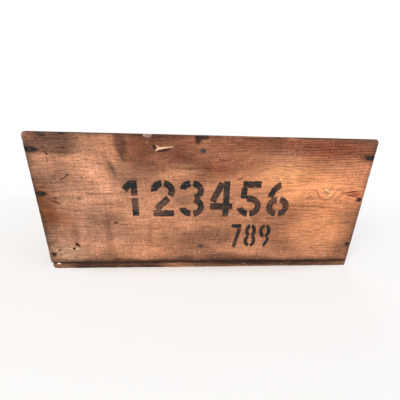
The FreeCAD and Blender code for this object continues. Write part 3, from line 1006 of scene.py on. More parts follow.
@dataclass(frozen=True)
class Bar:
    """A straight stencil cut, from one point to another, in shares of the figure's width and height."""

    start: tuple[float, float]
    end: tuple[float, float]

    def depth(self, x: np.ndarray, z: np.ndarray, width: float, height: float, stroke: float) -> np.ndarray:
        """How far points lie inside the cut.

        Args:
            x: Points across, in mm from the figure's left.
            z: Points up, in mm from the figure's foot.
            width: The figure's width in mm.
            height: The figure's height in mm.
            stroke: The cut's width in mm.

        Returns:
            Depth in mm, below 0 outside.
        """
        begin = np.array([self.start[0] * width, self.start[1] * height])
        run = np.array([self.end[0] * width, self.end[1] * height]) - begin
        length = np.hypot(*run)
        along = ((x - begin[0]) * run[0] + (z - begin[1]) * run[1]) / length
        off = ((x - begin[0]) * run[1] - (z - begin[1]) * run[0]) / length
        return np.minimum(stroke / 2 - np.abs(off), np.minimum(along, length - along))


@dataclass(frozen=True)
class Bow:
    """A curved stencil cut: part of an oval, between two angles in degrees, in shares of the figure."""

    middle: tuple[float, float]
    reach: tuple[float, float]
    start: float
    end: float

    def depth(self, x: np.ndarray, z: np.ndarray, width: float, height: float, stroke: float) -> np.ndarray:
        """How far points lie inside the cut.

        Args:
            x: Points across, in mm from the figure's left.
            z: Points up, in mm from the figure's foot.
            width: The figure's width in mm.
            height: The figure's height in mm.
            stroke: The cut's width in mm.

        Returns:
            Depth in mm, below 0 outside.
        """
        wide, tall = self.reach[0] * width, self.reach[1] * height
        off_x, off_z = x - self.middle[0] * width, z - self.middle[1] * height
        share = np.hypot(off_x / wide, off_z / tall)
        radius = np.hypot(off_x, off_z)
        ring = stroke / 2 - np.abs(radius - radius / np.maximum(share, 0.01))
        turn = np.degrees(np.arctan2(off_z / tall, off_x / wide))
        past = (turn - self.start) % 360
        span = self.end - self.start
        room = np.where(past <= span, np.minimum(past, span - past), -np.minimum(past - span, 360 - past))
        return np.minimum(ring, np.radians(room) * radius)


UPPER, LOWER, BOWL = (0.5, 0.72), (0.5, 0.29), (0.37, 0.21)
FIGURES: dict[str, tuple[Bar | Bow, ...]] = {
    "1": (Bar((0.56, 0.0), (0.56, 0.52)), Bar((0.56, 0.58), (0.56, 1.0)), Bar((0.16, 0.74), (0.46, 0.94))),
    "2": (
        Bow(UPPER, BOWL, 95, 185),
        Bow(UPPER, BOWL, -40, 82),
        Bar((0.72, 0.52), (0.2, 0.2)),
        Bar((0.06, 0.08), (0.94, 0.08)),
    ),
    "3": (
        Bow((0.46, 0.73), (0.38, 0.2), -70, 80),
        Bow((0.46, 0.73), (0.38, 0.2), 100, 170),
        Bow((0.46, 0.28), (0.4, 0.21), -80, 75),
        Bow((0.46, 0.28), (0.4, 0.21), 190, 262),
    ),
    "4": (
        Bar((0.7, 0.0), (0.7, 0.2)),
        Bar((0.7, 0.38), (0.7, 1.0)),
        Bar((0.5, 0.96), (0.1, 0.42)),
        Bar((0.0, 0.29), (0.98, 0.29)),
    ),
    "5": (
        Bar((0.14, 0.92), (0.92, 0.92)),
        Bar((0.21, 0.52), (0.21, 0.82)),
        Bow((0.46, 0.3), (0.4, 0.22), -82, 110),
        Bow((0.46, 0.3), (0.4, 0.22), 190, 264),
    ),
    "6": (
        Bow(LOWER, BOWL, -80, 80),
        Bow(LOWER, BOWL, 100, 260),
        Bow((0.68, 0.46), (0.55, 0.47), 105, 168),
    ),
    "7": (Bar((0.04, 0.92), (0.96, 0.92)), Bar((0.78, 0.82), (0.36, 0.0))),
    "8": (
        Bow(UPPER, (0.34, 0.2), -72, 78),
        Bow(UPPER, (0.34, 0.2), 102, 252),
        Bow(LOWER, (0.38, 0.21), -78, 72),
        Bow(LOWER, (0.38, 0.21), 108, 258),
    ),
    "9": (
        Bow((0.5, 0.71), BOWL, -80, 80),
        Bow((0.5, 0.71), BOWL, 100, 260),
        Bow((0.32, 0.54), (0.55, 0.47), -75, -12),
    ),
}


@dataclass(frozen=True)
class StencilRow:
    """A row of stencilled counting figures, placed in mm from the crate's middle and from the ground."""

    figures: str
    left: float
    right: float
    foot: float
    top: float
    width: float
    stroke: float
    blur: float = 4.0

    def cover(self, points: np.ndarray) -> np.ndarray:
        """How thickly the row's paint covers points of the front.

        Args:
            points: Rows of X, Y and Z in metres.

        Returns:
            0 to 1, with 0.5 at the edge of a cut.
        """
        x, z = points[:, 0] / MM, points[:, 2] / MM
        deepest = np.full(len(points), -self.blur)
        step = (self.right - self.left - self.width) / (len(self.figures) - 1)
        for number, figure in enumerate(self.figures):
            start = self.left + number * step
            for cut in FIGURES[figure]:
                depth = cut.depth(x - start, z - self.foot, self.width, self.top - self.foot, self.stroke)
                deepest = np.maximum(deepest, depth)
        return np.clip(0.5 + deepest / self.blur, 0.0, 1.0)

    def holds(self, points: np.ndarray) -> np.ndarray:
        """Tells which points lie on the row, with a little room round it.

        Args:
            points: Rows of X, Y and Z in metres.

        Returns:
            True for each that does.
        """
        x, z = points[:, 0] / MM, points[:, 2] / MM
        beside = np.maximum(self.left - x, x - self.right)
        above = np.maximum(self.foot - z, z - self.top)
        return np.maximum(beside, above) < self.blur


ROWS = (
    StencilRow("123456", -143, 146, 99.5, 159, 40, 11),
    StencilRow("789", 46, 119, 40.5, 85, 20, 7),
)


@dataclass(frozen=True)
class Pit:
    """A dent, crack or torn hole: where it is, in metres, its half sizes and its depth in mm.

    A turn is in degrees about Y, and a push is the way that the wood goes where it isn't straight in.
    """

    place: Vector
    half_size: tuple[float, float, float]
    depth: float
    floor: float = 0.6
    turn: float = 0.0
    push: Vector | None = None

    def reach(self, points: np.ndarray, room: float = 0.0) -> np.ndarray:
        """How far points lie from the pit's middle.

        Args:
            points: Rows of X, Y and Z in metres.
            room: Room round the pit in mm.

        Returns:
            Up to 1 in the pit and the room round it, and more outside.
        """
        turned = np.array(Matrix.Rotation(math.radians(-self.turn), 3, "Y"))
        away = (points - np.array(self.place)) @ turned
        return np.linalg.norm(away / ((np.array(self.half_size) + room) * MM), axis=1)


@dataclass
class Board:
    """One sawn board, in the place of its CAD node, with worn arrises and a wavy, dented face.

    Sizes are in mm. A patch is the size of the noise that wears the wood away, by up to its loss.
    """

    node: str
    wood: Softwood
    slot: str
    outward: Vector
    cell: float = 4.0
    arris: float = 1.3
    arris_reach: float = 4.0
    corner_radius: float = 0.0
    broken_corner: float = 0.0
    edge_loss: float = 1.6
    edge_patch: tuple[float, float, float] = (15.0, 9.0, 9.0)
    fibre_loss: float = 0.3
    fibre_length: float = 160.0
    fibre_width: float = 14.0
    wave_loss: float = 0.5
    wave_patch: tuple[float, float, float] = (110.0, 110.0, 110.0)
    pit_room: tuple[float, ...] = (5.0, 3.5, 2.0)
    pits: tuple[Pit, ...] = ()
    rows: tuple[StencilRow, ...] = ()

    def round_off(self, piece: bpy.types.Object) -> None:
        """Rounds the upper corners, breaks a lower one and eases every arris.

        Args:
            piece: The board.
        """
        low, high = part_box(self.node)
        middle = (low + high) / 2
        with editing(piece, "EDGE"):
            if self.corner_radius:
                pick_edges(piece, lambda e: all(v.co.z > middle.z for v in e.verts) and runs(e, 1))
                bpy.ops.mesh.bevel(offset=self.corner_radius * MM, segments=6, affect="EDGES")
            if self.broken_corner:
                pick_edges(piece, lambda e: all(v.co.x < middle.x and v.co.y < middle.y for v in e.verts))
                bpy.ops.mesh.bevel(offset=self.broken_corner * MM, segments=3, profile=0.3, affect="EDGES")
            pick_edges(piece, lambda e: e.calc_face_angle(0) > math.radians(60))
            bpy.ops.mesh.bevel(offset=self.arris * MM, segments=3, affect="EDGES")
            if self.corner_radius:
                inset = self.corner_radius * MM
                for place, normal in (
                    ((low.x + inset, 0, 0), (1, 0, 0)),
                    ((high.x - inset, 0, 0), (1, 0, 0)),
                    ((0, 0, high.z - inset), (0, 0, 1)),
                ):
                    bpy.ops.mesh.select_all(action="SELECT")
                    bpy.ops.mesh.bisect(plane_co=place, plane_no=normal)

    def on_face(self, points: np.ndarray, depth: float) -> np.ndarray:
        """Tells which points lie within some mm of the outward face."""
        face = max(corner.dot(self.outward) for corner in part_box(self.node))
        return points @ np.array(self.outward) > face - depth * MM

    def near_pits(self, points: np.ndarray, room: float) -> np.ndarray:
        """Tells which points lie in a pit or within some mm of it."""
        return np.min([pit.reach(points, room) for pit in self.pits], axis=0) < 1

    def cut_cells(self, piece: bpy.types.Object) -> None:
        """Cuts the board into small cells, finer under paint and finest round its pits.

        Args:
            piece: The board.
        """
        size = [c / MM for c in piece.dimensions]
        for axis in range(3):
            count = max(2, round(size[axis] / self.cell))
            first = math.ceil(math.sqrt(count))
            for parts in (first, math.ceil(count / first)):
                if parts < 2:
                    continue
                longest = self.longest_edge(piece, axis)
                with editing(piece, "EDGE"):
                    pick_edges(piece, lambda e: runs(e, axis) and e.calc_length() > longest * 0.7)
                    bpy.ops.mesh.subdivide(number_cuts=parts - 1)
        fine = [lambda p, row=row: row.holds(p) & self.on_face(p, 2.0) for row in self.rows]
        if self.pits:
            fine += [lambda p, room=room: self.near_pits(p, room) for room in self.pit_room]
        for wanted in fine:
            with editing(piece, "FACE"):
                pick_faces(piece, wanted)
                bpy.ops.mesh.subdivide(number_cuts=1)

    @staticmethod
    def longest_edge(piece: bpy.types.Object, axis: int) -> float:
        """Measures the longest edge along an axis.

        Args:
            piece: The board.
            axis: 0, 1 or 2 for X, Y or Z.

        Returns:
            Its length in metres.
        """
        points = read_points(piece)
        ends = np.array([e.vertices[:] for e in piece.data.edges])
        return float(np.abs(points[ends[:, 1], axis] - points[ends[:, 0], axis]).max())

    def displace(
        self, piece: bpy.types.Object, patch: Sequence[float], depth: float, group_name: str = ""
    ) -> None:
        """Wears the surface away by noise.

        Args:
            piece: The board.
            patch: Size of the noise along X, Y and Z in mm.
            depth: The most that is worn away, in mm.
            group_name: Vertex group that limits it, if any.
        """
        guide = bpy.data.objects.new("noise_guide", None)
        bpy.context.scene.collection.objects.link(guide)
        guide.scale = [p * MM for p in patch]
        guide.location = (self.wood.seed * 0.037, self.wood.seed * 0.011, self.wood.seed * 0.023)
        bpy.context.view_layer.update()
        clouds = bpy.data.textures.new("wear_noise", "CLOUDS")
        clouds.noise_scale = 1.0
        select_only(piece)
        bpy.ops.object.modifier_add(type="DISPLACE")
        wear = piece.modifiers[-1]
        wear.texture = clouds
        wear.texture_coords = "OBJECT"
        wear.texture_coords_object = guide
        wear.mid_level = 0.72
        wear.strength = depth * MM
        wear.vertex_group = group_name
        bpy.ops.object.modifier_apply(modifier=wear.name)
        bpy.data.textures.remove(clouds)
        bpy.data.objects.remove(guide)

    def weaken_edges(self, piece: bpy.types.Object) -> None:
        """Makes the vertex group that lets the arrises wear more than the faces.

        Args:
            piece: The board.
        """
        low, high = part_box(self.node)
        points = read_points(piece)
        inside = np.minimum(points - np.array(low), np.array(high) - points)
        second = np.sort(inside, axis=1)[:, 1] / MM
        weights = np.clip(1 - second / self.arris_reach, 0, 1)
        group = piece.vertex_groups.new(name="arris")
        for index in np.nonzero(weights)[0]:
            group.add([int(index)], float(weights[index]), "REPLACE")

    def press_pits(self, piece: bpy.types.Object) -> None:
        """Presses the dents and torn holes into the face that looks outward.

        Args:
            piece: The board.
        """
        points = read_points(piece)
        for pit in self.pits:
            share = ease((1 - pit.reach(points)) / (1 - pit.floor))
            points += np.outer(share * pit.depth * MM, np.array(pit.push or -self.outward))
        write_points(piece, points)

    def trim(self, piece: bpy.types.Object) -> None:
        """Keeps the worn board within the box that it was sawn to."""
        low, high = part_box(self.node)
        write_points(piece, np.clip(read_points(piece), np.array(low), np.array(high)))

    def build(self) -> bpy.types.Object:
        """Builds and dresses the board.

        Returns:
            The finished piece.
        """
        low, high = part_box(self.node)
        piece = add_block(f"{self.node}_worn", (low + high) / 2, high - low)
        self.round_off(piece)
        self.cut_cells(piece)
        self.weaken_edges(piece)
        fibre_patch = [self.fibre_width] * 3
        fibre_patch[1 if self.wood.grain is Grain.END else 0] = self.fibre_length
        self.displace(piece, fibre_patch, self.fibre_loss)
        self.displace(piece, self.wave_patch, self.wave_loss)
        self.displace(piece, self.edge_patch, self.edge_loss, "arris")
        self.trim(piece)
        self.press_pits(piece)
        self.dress(piece)
        return piece

    def dress(self, piece: bpy.types.Object) -> None:
        """Gives the board its paint, its wood and its place in the frame.

        Args:
            piece: The board.
        """
        if self.rows:
            points = read_points(piece)
            cover = np.max([row.cover(points) for row in self.rows], axis=0)
            cover = np.where(self.on_face(points, 3.0), cover, 0.0)
            layer = piece.data.attributes.new(STENCIL, "FLOAT", "POINT")
            layer.data.foreach_set("value", cover.astype(np.float32))
        select_only(piece)
        bpy.ops.object.shade_smooth_by_angle(angle=math.radians(40))
        piece.data.materials.append(self.wood.material())
        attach(piece, BODY)
        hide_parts(self.node)


@dataclass
class NailGroup:
    """Nails that share a CAD node: their solids stay, and get a finish."""

    node: str
    outward: Vector
    finish: bpy.types.Material
    seat: float = 3.6
    seat_depth: float = 1.0

    def dress(self) -> None:
        """Gives the nails their finish."""
        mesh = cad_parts[self.node].data
        mesh.materials.clear()
        mesh.materials.append(self.finish)

    def heads(self) -> list[Vector]:
        """Finds the nails' heads.

        Returns:
            The middle of each head's outer face, in metres.
        """
        points = np.array([v.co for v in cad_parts[self.node].data.vertices])
        height = points @ np.array(self.outward)
        rims: list[list[np.ndarray]] = []
        for top in points[height > height.max() - 0.05 * MM]:
            near = [rim for rim in rims if np.linalg.norm(rim[0] - top) < 2 * self.seat * MM]
            if near:
                near[0].append(top)
            else:
                rims.append([top])
        return [Vector((np.min(rim, axis=0) + np.max(rim, axis=0)) / 2) for rim in rims]

    def seats(self) -> list[Pit]:
        """The crushed seat round each head."""
        return [Pit(head, (self.seat * 1.15, self.seat, self.seat), self.seat_depth) for head in self.heads()]


@dataclass(frozen=True)
class Sliver:
    """A strip of wood torn up from the front: it lifts from its root, flush with the board, to its tip.

    Sizes are in mm, places are across from the crate's middle and up from the ground, and the root's width
    and thickness are shares of the tip's.
    """

    name: str
    root: tuple[float, float]
    tip: tuple[float, float]
    width: float
    thickness: float
    lift: float
    root_width: float = 0.12
    root_thickness: float = 0.3
    curl: float = 1.6
    ragged: float = 0.9
    arris: float = 0.15

    def build(self, finish: bpy.types.Material) -> bpy.types.Object:
        """Builds and dresses the sliver.

        Args:
            finish: Its torn wood.

        Returns:
            The finished piece.
        """
        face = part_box("front_side_board")[0].y
        root = Vector((self.root[0] * MM, face, self.root[1] * MM))
        tip = Vector((self.tip[0] * MM, face, self.tip[1] * MM))
        length = (tip - root).length
        middle = Vector((root.x + length / 2, root.y, root.z))
        piece = add_block(self.name, middle, (length, self.thickness * MM, self.width * MM))
        with editing(piece, "EDGE"):
            for axis, cuts in ((0, 11), (2, 3)):
                pick_edges(piece, lambda e: runs(e, axis))
                bpy.ops.mesh.subdivide(number_cuts=cuts)
        points = read_points(piece)
        share = (points[:, 0] - root.x) / length
        spread = self.root_width + (1 - self.root_width) * share
        thick = self.root_thickness + (1 - self.root_thickness) * share
        points[:, 2] = root.z + (points[:, 2] - root.z) * spread
        points[:, 1] = face + (points[:, 1] - face) * thick - self.lift * MM * share**self.curl
        torn = np.sin(points[:, 2] / MM * 3.1 + 0.7) * self.ragged * MM
        points[:, 0] += np.where(share > 0.95, torn, 0.0)
        turn = math.atan2(tip.z - root.z, tip.x - root.x)
        spin = np.array(Matrix.Rotation(-turn, 3, "Y"))
        write_points(piece, (points - np.array(root)) @ spin.T + np.array(root))
        select_only(piece)
        bpy.ops.object.modifier_add(type="BEVEL")
        piece.modifiers[-1].width = self.arris * MM
        piece.modifiers[-1].segments = 2
        bpy.ops.object.modifier_apply(modifier=piece.modifiers[-1].name)
        bpy.ops.object.shade_smooth_by_angle(angle=math.radians(35))
        piece.data.materials.append(finish)
        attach(piece, BODY)
        return piece


SLIVERS = (
    Sliver("blown_splinter", (-53, 210.6), (-80, 207.2), 3.8, 1.0, 3.2),
    Sliver("blown_prong", (-74, 207.2), (-82.5, 204.4), 2.4, 0.9, 2.6),
    Sliver("blown_fibre", (-75.5, 210.0), (-81.5, 211.8), 2.0, 0.9, 1.8),
    Sliver("torn_chip", (-223.6, 38.4), (-230.4, 39.8), 5.6, 1.2, 2.6),
    Sliver("torn_flake", (-225.0, 42.4), (-228.6, 40.4), 2.4, 0.8, 2.8),
    Sliver("torn_fibre", (-251, 41.8), (-236.5, 38.8), 1.5, 0.6, 1.2),
)


@dataclass(frozen=True)
class PhotoCamera:
    """The camera of the photograph, fitted to the corners of the crate's front, in mm, degrees and pixels."""

    place: tuple[float, float, float] = (-43.4, -634.7, 226.0)
    pitch: float = -25.09
    yaw: float = -4.44
    roll: float = 1.36
    focal_pixels: float = 263.8
    centre_row: float = 259.9
    sensor: float = 36.0

    def build(self) -> None:
        """Adds the camera and makes it the scene's own."""
        lens = bpy.data.cameras.new("photo_camera")
        lens.sensor_width = self.sensor
        lens.lens = self.focal_pixels * self.sensor / PHOTO_PIXELS
        lens.shift_y = (self.centre_row - PHOTO_PIXELS / 2) / PHOTO_PIXELS
        lens.clip_start = 0.01
        camera = bpy.data.objects.new("photo_camera", lens)
        bpy.context.scene.collection.objects.link(camera)
        turn = (
            Matrix.Rotation(math.radians(self.yaw), 4, "Z")
            @ Matrix.Rotation(math.radians(self.pitch), 4, "X")
            @ Matrix.Rotation(math.radians(-self.roll), 4, "Y")
            @ Matrix.Rotation(math.pi / 2, 4, "X")
        )
        camera.matrix_world = Matrix.Translation(Vector(self.place) * MM) @ turn
        bpy.context.scene.camera = camera


@dataclass(frozen=True)
class Stage:
    """A white floor and white surroundings under soft studio light."""

    floor_size: float = 12.0
    key_power: float = 46.0
    fill_power: float = 16.0
    sky: float = 0.34

    @staticmethod
    def seen(sheet: NodeSheet) -> Socket:
        """Finds the rays that come from the camera, straight or by way of metal or glass.

        Args:
            sheet: The nodes of the floor or the surroundings.

        Returns:
            1 for those rays and 0 for the rest.
        """
        paths = [sheet.add("LightPath", {}, f"Is {way} Ray") for way in ("Camera", "Glossy", "Transmission")]
        straight = sheet.add("Math", {0: paths[0], 1: paths[1]}, operation="MAXIMUM")
        return sheet.add("Math", {0: straight, 1: paths[2]}, operation="MAXIMUM")

    def floor(self) -> None:
        """Adds the floor, white to the camera but for the crate's shadow."""
        bpy.ops.object.select_all(action="DESELECT")
        bpy.ops.mesh.primitive_plane_add(size=self.floor_size, location=(0, 0, -0.2 * MM))
        floor = bpy.context.object
        floor.name = "studio_floor"
        sheet = NodeSheet(bpy.data.materials.new("white_paper_floor"))
        sheet.dress(Base_Color=linear("#FAFAFA"), Roughness=0.9)
        white = sheet.add("Emission", {"Color": linear("#FFFFFF"), "Strength": 1.0})
        place = sheet.add("TexCoord", {}, "Object")
        away = sheet.add("VectorMath", {0: place}, "Value", operation="LENGTH")
        far = {"Value": away, "From Min": 0.35, "From Max": 1.1, "To Min": 0.6}
        far = sheet.add("MapRange", far, **SMOOTH)
        high = CAD_BOX[1]
        share = sheet.add("VectorMath", {0: place, 1: (1 / high[0], 1 / high[1], 0)}, operation="MULTIPLY")
        share = sheet.add("VectorMath", {0: share, 1: share}, operation="MULTIPLY")
        share = sheet.add("VectorMath", {0: share}, "Value", operation="LENGTH")
        clear = sheet.add("MapRange", {"Value": share, "From Min": 0.9, "From Max": 1.4})
        level = sheet.add("Math", {0: far, 1: clear}, operation="MULTIPLY")
        amount = sheet.add("Math", {0: self.seen(sheet), 1: level}, operation="MULTIPLY")
        mixed = sheet.add("MixShader", {0: amount, 1: sheet.shader.outputs[0], 2: white})
        sheet.feed(sheet.tree.nodes["Material Output"].inputs["Surface"], mixed)
        floor.data.materials.append(sheet.owner)

    def world(self) -> None:
        """Makes the surroundings white to the camera and a plain soft light to the rest."""
        sheet = NodeSheet(bpy.data.worlds.new("white_studio"))
        level = sheet.add("MapRange", {"Value": self.seen(sheet), "To Min": self.sky, "To Max": 1.0})
        bpy.context.scene.world = sheet.dress(Color=linear("#FFFFFF"), Strength=level)

    def lamp(self, name: str, place: Sequence[float], size: float, power: float, colour: str) -> None:
        """Adds a soft square lamp that looks at the crate.

        Args:
            name: The lamp's name.
            place: Where it hangs, in metres.
            size: Its side in metres.
            power: Its power in watts.
            colour: Its colour as #RRGGBB.
        """
        light = bpy.data.lights.new(name, "AREA")
        light.size = size
        light.energy = power
        light.color = linear(colour)[:3]
        lamp = bpy.data.objects.new(name, light)
        bpy.context.scene.collection.objects.link(lamp)
        lamp.location = place
        middle = (Vector(CAD_BOX[0]) + Vector(CAD_BOX[1])) / 2
        lamp.rotation_euler = (middle - Vector(place)).to_track_quat("-Z", "Y").to_euler()

    def build(self) -> None:
        """Sets up floor, surroundings, lamps and colour handling."""
        bpy.context.scene.view_settings.view_transform = "Standard"
        self.floor()
        self.world()
        self.lamp("key_lamp", (-1.3, -1.9, 1.5), 0.9, self.key_power, "#FFF6EA")
        self.lamp("fill_lamp", (1.7, -1.2, 1.3), 1.4, self.fill_power, "#F2F6FF")
        self.lamp("rear_lamp", (0.6, 1.9, 1.6), 1.2, self.fill_power, "#FFFFFF")


@dataclass
class Crate:
    """The whole crate: its boards, its nails and the slivers torn from its front. Sizes are in mm."""

    corner_radius: float = 7.0
    broken_corner: float = 6.0
    end_zone: float = 200.0
    stain: float = 7.0
    end_stain: float = 10.0
    nails: dict[str, list[NailGroup]] = field(default_factory=dict)

    def __post_init__(self) -> None:
        """Makes the nail groups, whose places the boards need for their seats."""
        rusted, rubbed = RUSTED_STEEL.material(), RUBBED_STEEL.material()
        for board, outward in (("front", FRONT), ("rear", REAR)):
            nodes = self.nail_nodes(f"{board}_")
            self.nails[f"{board}_side_board"] = [
                NailGroup(node, outward, rubbed if "partition" in node else rusted) for node in nodes
            ]
        for board in ("bottom_front", "bottom_middle", "bottom_rear"):
            self.nails[f"{board}_board"] = [NailGroup(node, DOWN, rusted) for node in self.nail_nodes(board)]

    @staticmethod
    def nail_nodes(start: str) -> list[str]:
        """The nodes of nails whose names start so."""
        return [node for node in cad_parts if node.startswith(start) and "nail" in node]

    def seats(self, board: str) -> tuple[Pit, ...]:
        """The seats of all nails of one board."""
        return tuple(pit for group in self.nails[board] for pit in group.seats())

    def iron_stains(self, board: str, grain: Grain) -> tuple[Mark, ...]:
        """Black stains that the iron of the nails has left in the wood, drawn out along the grain.

        Args:
            board: The board's node.
            grain: How it lies.

        Returns:
            Two marks to a nail, longer near the board's ends where they are high up.
        """
        low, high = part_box(board)
        stains = []
        for pit in self.seats(board):
            away = grain.flat(pit.place - (low + high) / 2) / MM
            at_end = abs(away.x) > self.end_zone
            length = self.stain + (0.2 * max(0.0, away.z) if at_end else 0.0)
            colour = SOOT_AND_SHADE if at_end else IRON
            width = self.end_stain if at_end else self.stain
            stains.append(Mark(away.x + length * 0.1, away.z, length * 1.3, width, colour, 1.1, crisp=0.45))
            stains.append(Mark(away.x, away.z, length * 2.2, width * 1.8, "#94705C", 0.6))
        return tuple(stains)

    @staticmethod
    def torn_places() -> tuple[Pit, ...]:
        """The holes, cracks and chips in the front, apart from the nails' seats.

        Returns:
            Their pits.
        """
        low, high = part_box("front_side_board")
        face, rim = low.y, high.z
        inward = Vector((0, 0.75, -0.66))
        return (
            Pit(Vector((-0.0835, face, 0.2095)), (3.2, 3.0, 3.0), 3.2, 0.3),
            Pit(Vector((-0.070, face, 0.2080)), (13.0, 3.0, 2.4), 1.4, 0.3),
            Pit(Vector((-0.2269, face, 0.0452)), (5.5, 3.0, 2.4), 2.8, 0.3, turn=26),
            Pit(Vector((-0.2287, face, 0.0482)), (4.0, 3.0, 2.0), 2.2, 0.3, turn=-35),
            Pit(Vector((-0.2338, face, 0.0391)), (3.4, 3.0, 2.4), 2.6, 0.3),
            Pit(Vector((-0.2305, face, 0.1612)), (13.0, 3.0, 0.9), 0.9, 0.1, turn=-31),
            Pit(Vector((-0.012, face, rim)), (8.0, 4.0, 5.0), 1.8, 0.3, push=inward),
            Pit(Vector((-0.018, face, rim - 0.006)), (5.0, 3.0, 5.0), 1.2, 0.4),
            Pit(Vector((-0.094, face, rim)), (4.5, 3.0, 3.0), 1.2, 0.3, push=inward),
            Pit(Vector((0.118, face, rim)), (5.5, 3.0, 2.0), 0.8, 0.3, push=inward),
            Pit(Vector((0.205, face, rim)), (3.5, 3.0, 2.0), 0.7, 0.3, push=inward),
        )

    @staticmethod
    def wood(node: str, grain: Grain, **facts: Any) -> Softwood:
        """The softwood of one board, in the box of its node."""
        low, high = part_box(node)
        return Softwood(f"weathered_pine_{node}", grain, low, high, **facts)

    def used_wood(self, node: str, grain: Grain, marks: tuple[Mark, ...] = (), **facts: Any) -> Softwood:
        """The softwood of a board with marks of use scattered over both its faces.

        Args:
            node: The board's node.
            grain: How it lies.
            marks: Its own marks, beside the scattered ones.
            facts: The wood's other facts, with its seed.

        Returns:
            The wood.
        """
        chance = np.random.default_rng(round(facts["seed"] * 10))
        half = self.wood(node, grain, **facts).half()
        for kind in SCATTER:
            for face in (-half.y, half.y):
                place = chance.uniform(-0.92, 0.92, 2) * (half.x, half.z)
                length = kind.length * chance.uniform(0.5, 1.5)
                turn = chance.normal(0.0, 9.0)
                spot = {"along": place[0], "across": place[1], "through": face}
                marks += (replace(kind, length=length, turn=turn, **spot),)
        return self.wood(node, grain, marks=marks, **facts)

    @staticmethod
    def flecks() -> tuple[Mark, ...]:
        """Small dark and bare flecks, strewn by chance over the mottled parts of the front.

        Returns:
            The flecks, dark and bare by turns.
        """
        chance = np.random.default_rng(7)
        flecks = []
        for along, across, length, width, count in MOTTLED:
            for i in range(count):
                x = along + length * chance.uniform(-0.5, 0.5)
                z = across + width * chance.uniform(-0.5, 0.5)
                dark = i % 2 == 0
                kind = DASH if dark else SCRATCH
                size = {"length": chance.uniform(3.0, 8.0), "width": chance.uniform(2.0, 3.4)}
                turn = chance.normal(0.0, 35.0)
                strength = 0.8 if dark else 0.4
                flecks.append(replace(kind, along=x, across=z, turn=turn, strength=strength, **size))
        return tuple(flecks)

    def front(self) -> Board:
        """The front side, with the marks that it shows.

        Returns:
            The board, not built yet.
        """
        node = "front_side_board"
        on_wood = {"blend": Blend.COVER, "crisp": 0.5}
        specks = tuple(Mark(x, z, 3.0, 2.6, "#EDD6BC", 0.85, **on_wood) for x, z in SPECKS)
        swirl = tuple(Mark(x, z, long, 3.2, "#F4DDB4", 1.0, turn, **on_wood) for x, z, long, turn in SWIRL)
        # the front's marks, among them its painted shade and painted sunlight
        stains = FRONT_PALE_AND_SUNLIT + FRONT_STAINS_AND_SHADE + self.flecks() + self.iron_stains(node, Grain.SIDE)
        wood = self.wood(
            node, Grain.SIDE, pith_depth=38, pith_height=14, pith_swing=-2.0, pith_slope=-1.5, seed=1.3,
            ring_width=3.7, lines=(0.06, 0.3), patchy=0.58, brightness=0.97, bold=FRONT_BOLD,
            knots=(Knot(211, 20, 7, 0.0), Knot(-211, 9, 2.4, 0.5)), marks=stains + specks + swirl,
            paint=StencilPaint(),
        )
        return Board(
            node, wood, "side_wood", FRONT, cell=2.5, arris=1.0, edge_loss=0.9,
            corner_radius=self.corner_radius, pits=self.seats(node) + self.torn_places(), rows=ROWS,
        )

    def rear(self) -> Board:
        """The rear side, with two drying cracks at its ends.

        Returns:
            The board, not built yet.
        """
        node = "rear_side_board"
        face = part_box(node)[1].y
        cracks = (
            Pit(Vector((0.252, face, 0.176)), (27, 3, 0.9), 1.4, 0.1, turn=-2),
            Pit(Vector((-0.262, face, 0.062)), (18, 3, 0.8), 1.2, 0.1, turn=3),
        )
        wood = self.used_wood(
            node, Grain.SIDE, pith_depth=-55, pith_height=-25, pith_swing=2.2, seed=5.1, face=1.0,
            marks=self.iron_stains(node, Grain.SIDE) + (
                Mark(252, 56, 54, 2.6, SOOT_AND_SHADE, 1.0, turn=2),
                Mark(-262, -58, 36, 2.4, SOOT_AND_SHADE, 1.0, turn=-3),
            ),
            knots=(Knot(-120, 35, 8), Knot(90, -48, 6.5), Knot(205, 62, 4)),
        )
        pits = self.seats(node) + cracks
        return Board(node, wood, "side_wood", REAR, corner_radius=self.corner_radius, pits=pits)

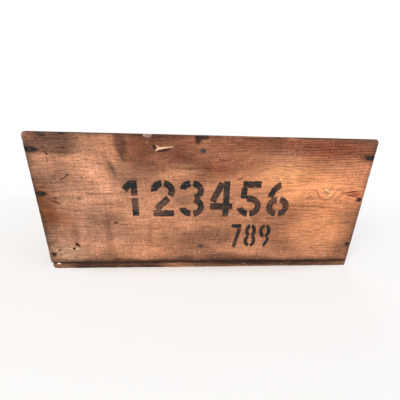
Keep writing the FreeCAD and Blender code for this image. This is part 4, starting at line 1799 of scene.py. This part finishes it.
    def ends(self) -> list[Board]:
        """The two thicker ends, each with a drying crack.

        Returns:
            The boards, not built yet.
        """
        made = []
        for node, outward, face, seed, height, crack, knots in (
            ("left_end_board", LEFT, 1.0, 9.4, 20, (0.142, 0.165), ((55, 48, 9), (-105, -55, 5))),
            ("right_end_board", RIGHT, -1.0, 13.2, -35, (-0.138, 0.072), ((-35, -28, 10), (120, 66, 4.5))),
        ):
            low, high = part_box(node)
            middle = (low.z + high.z) / 2
            check = Mark(crack[0] / MM, (crack[1] - middle) / MM, 56, 2.6, SOOT_AND_SHADE, 1.0)
            wood = self.used_wood(
                node, Grain.END, (check,), pith_depth=-face * 60, pith_height=height, pith_swing=2.4,
                seed=seed, brightness=0.95, face=face, saw_marks=0.06,
                knots=tuple(Knot(*knot) for knot in knots),
            )
            edge = max((low, high), key=outward.dot).x
            split = Pit(Vector((edge, *crack)), (3, 28, 0.9), 1.5, 0.1)
            made.append(Board(node, wood, "end_wood", outward, pits=(split,)))
        return made

    def partition(self) -> Board:
        """The partition, inside all over and so paler.

        Returns:
            The board, not built yet.
        """
        node = "centre_partition"
        wood = self.used_wood(
            node, Grain.END, pith_depth=70, pith_height=-20, pith_swing=2.0, seed=17.7, brightness=1.2,
            inside=1.0, early="#C4936E", clean="#C4936E", knots=(Knot(70, 22, 7),), saw_marks=0.08,
        )
        return Board(node, wood, "partition_wood", LEFT, edge_loss=1.2)

    def bottoms(self) -> list[Board]:
        """The three bottom boards, rough from the saw, the front one with a corner broken off.

        Returns:
            The boards, not built yet.
        """
        made = []
        for number, name in enumerate(("front", "middle", "rear")):
            node = f"bottom_{name}_board"
            stains = self.iron_stains(node, Grain.BOTTOM)
            wood = self.used_wood(
                node, Grain.BOTTOM, seed=21.3 + 4 * number, brightness=0.92, saw_marks=0.12,
                pith_depth=55 - 12 * number, pith_height=25 * number - 30, pith_swing=2.5 - number,
                knots=(
                    Knot(130 - 150 * number, 14 - 16 * number, 7),
                    Knot(-190 + 110 * number, -20 + 18 * number, 5),
                ),
                marks=STRIP_MARKS + stains if name == "front" else stains,
            )
            broken = self.broken_corner if name == "front" else 0.0
            pits = self.seats(node)
            made.append(Board(node, wood, "bottom_wood", DOWN, arris=1.0, broken_corner=broken, pits=pits))
        return made

    def build(self) -> None:
        """Builds every board and sliver and dresses every nail."""
        for board in (self.front(), self.rear(), *self.ends(), self.partition(), *self.bottoms()):
            piece = board.build()
            LOG.info("%s: %d faces", piece.name, len(piece.data.polygons))
        finish = TORN_PINE.material()
        for sliver in SLIVERS:
            piece = sliver.build(finish)
            LOG.info("%s: %d faces", piece.name, len(piece.data.polygons))
        for groups in self.nails.values():
            for group in groups:
                group.dress()
                LOG.info("%s dressed", group.node)


def main() -> None:
    """Builds the crate, the stage and the camera."""
    logging.basicConfig(level=logging.INFO, format="%(message)s")
    Crate().build()
    Stage().build()
    PhotoCamera().build()


if __name__ == "__main__":
    main()
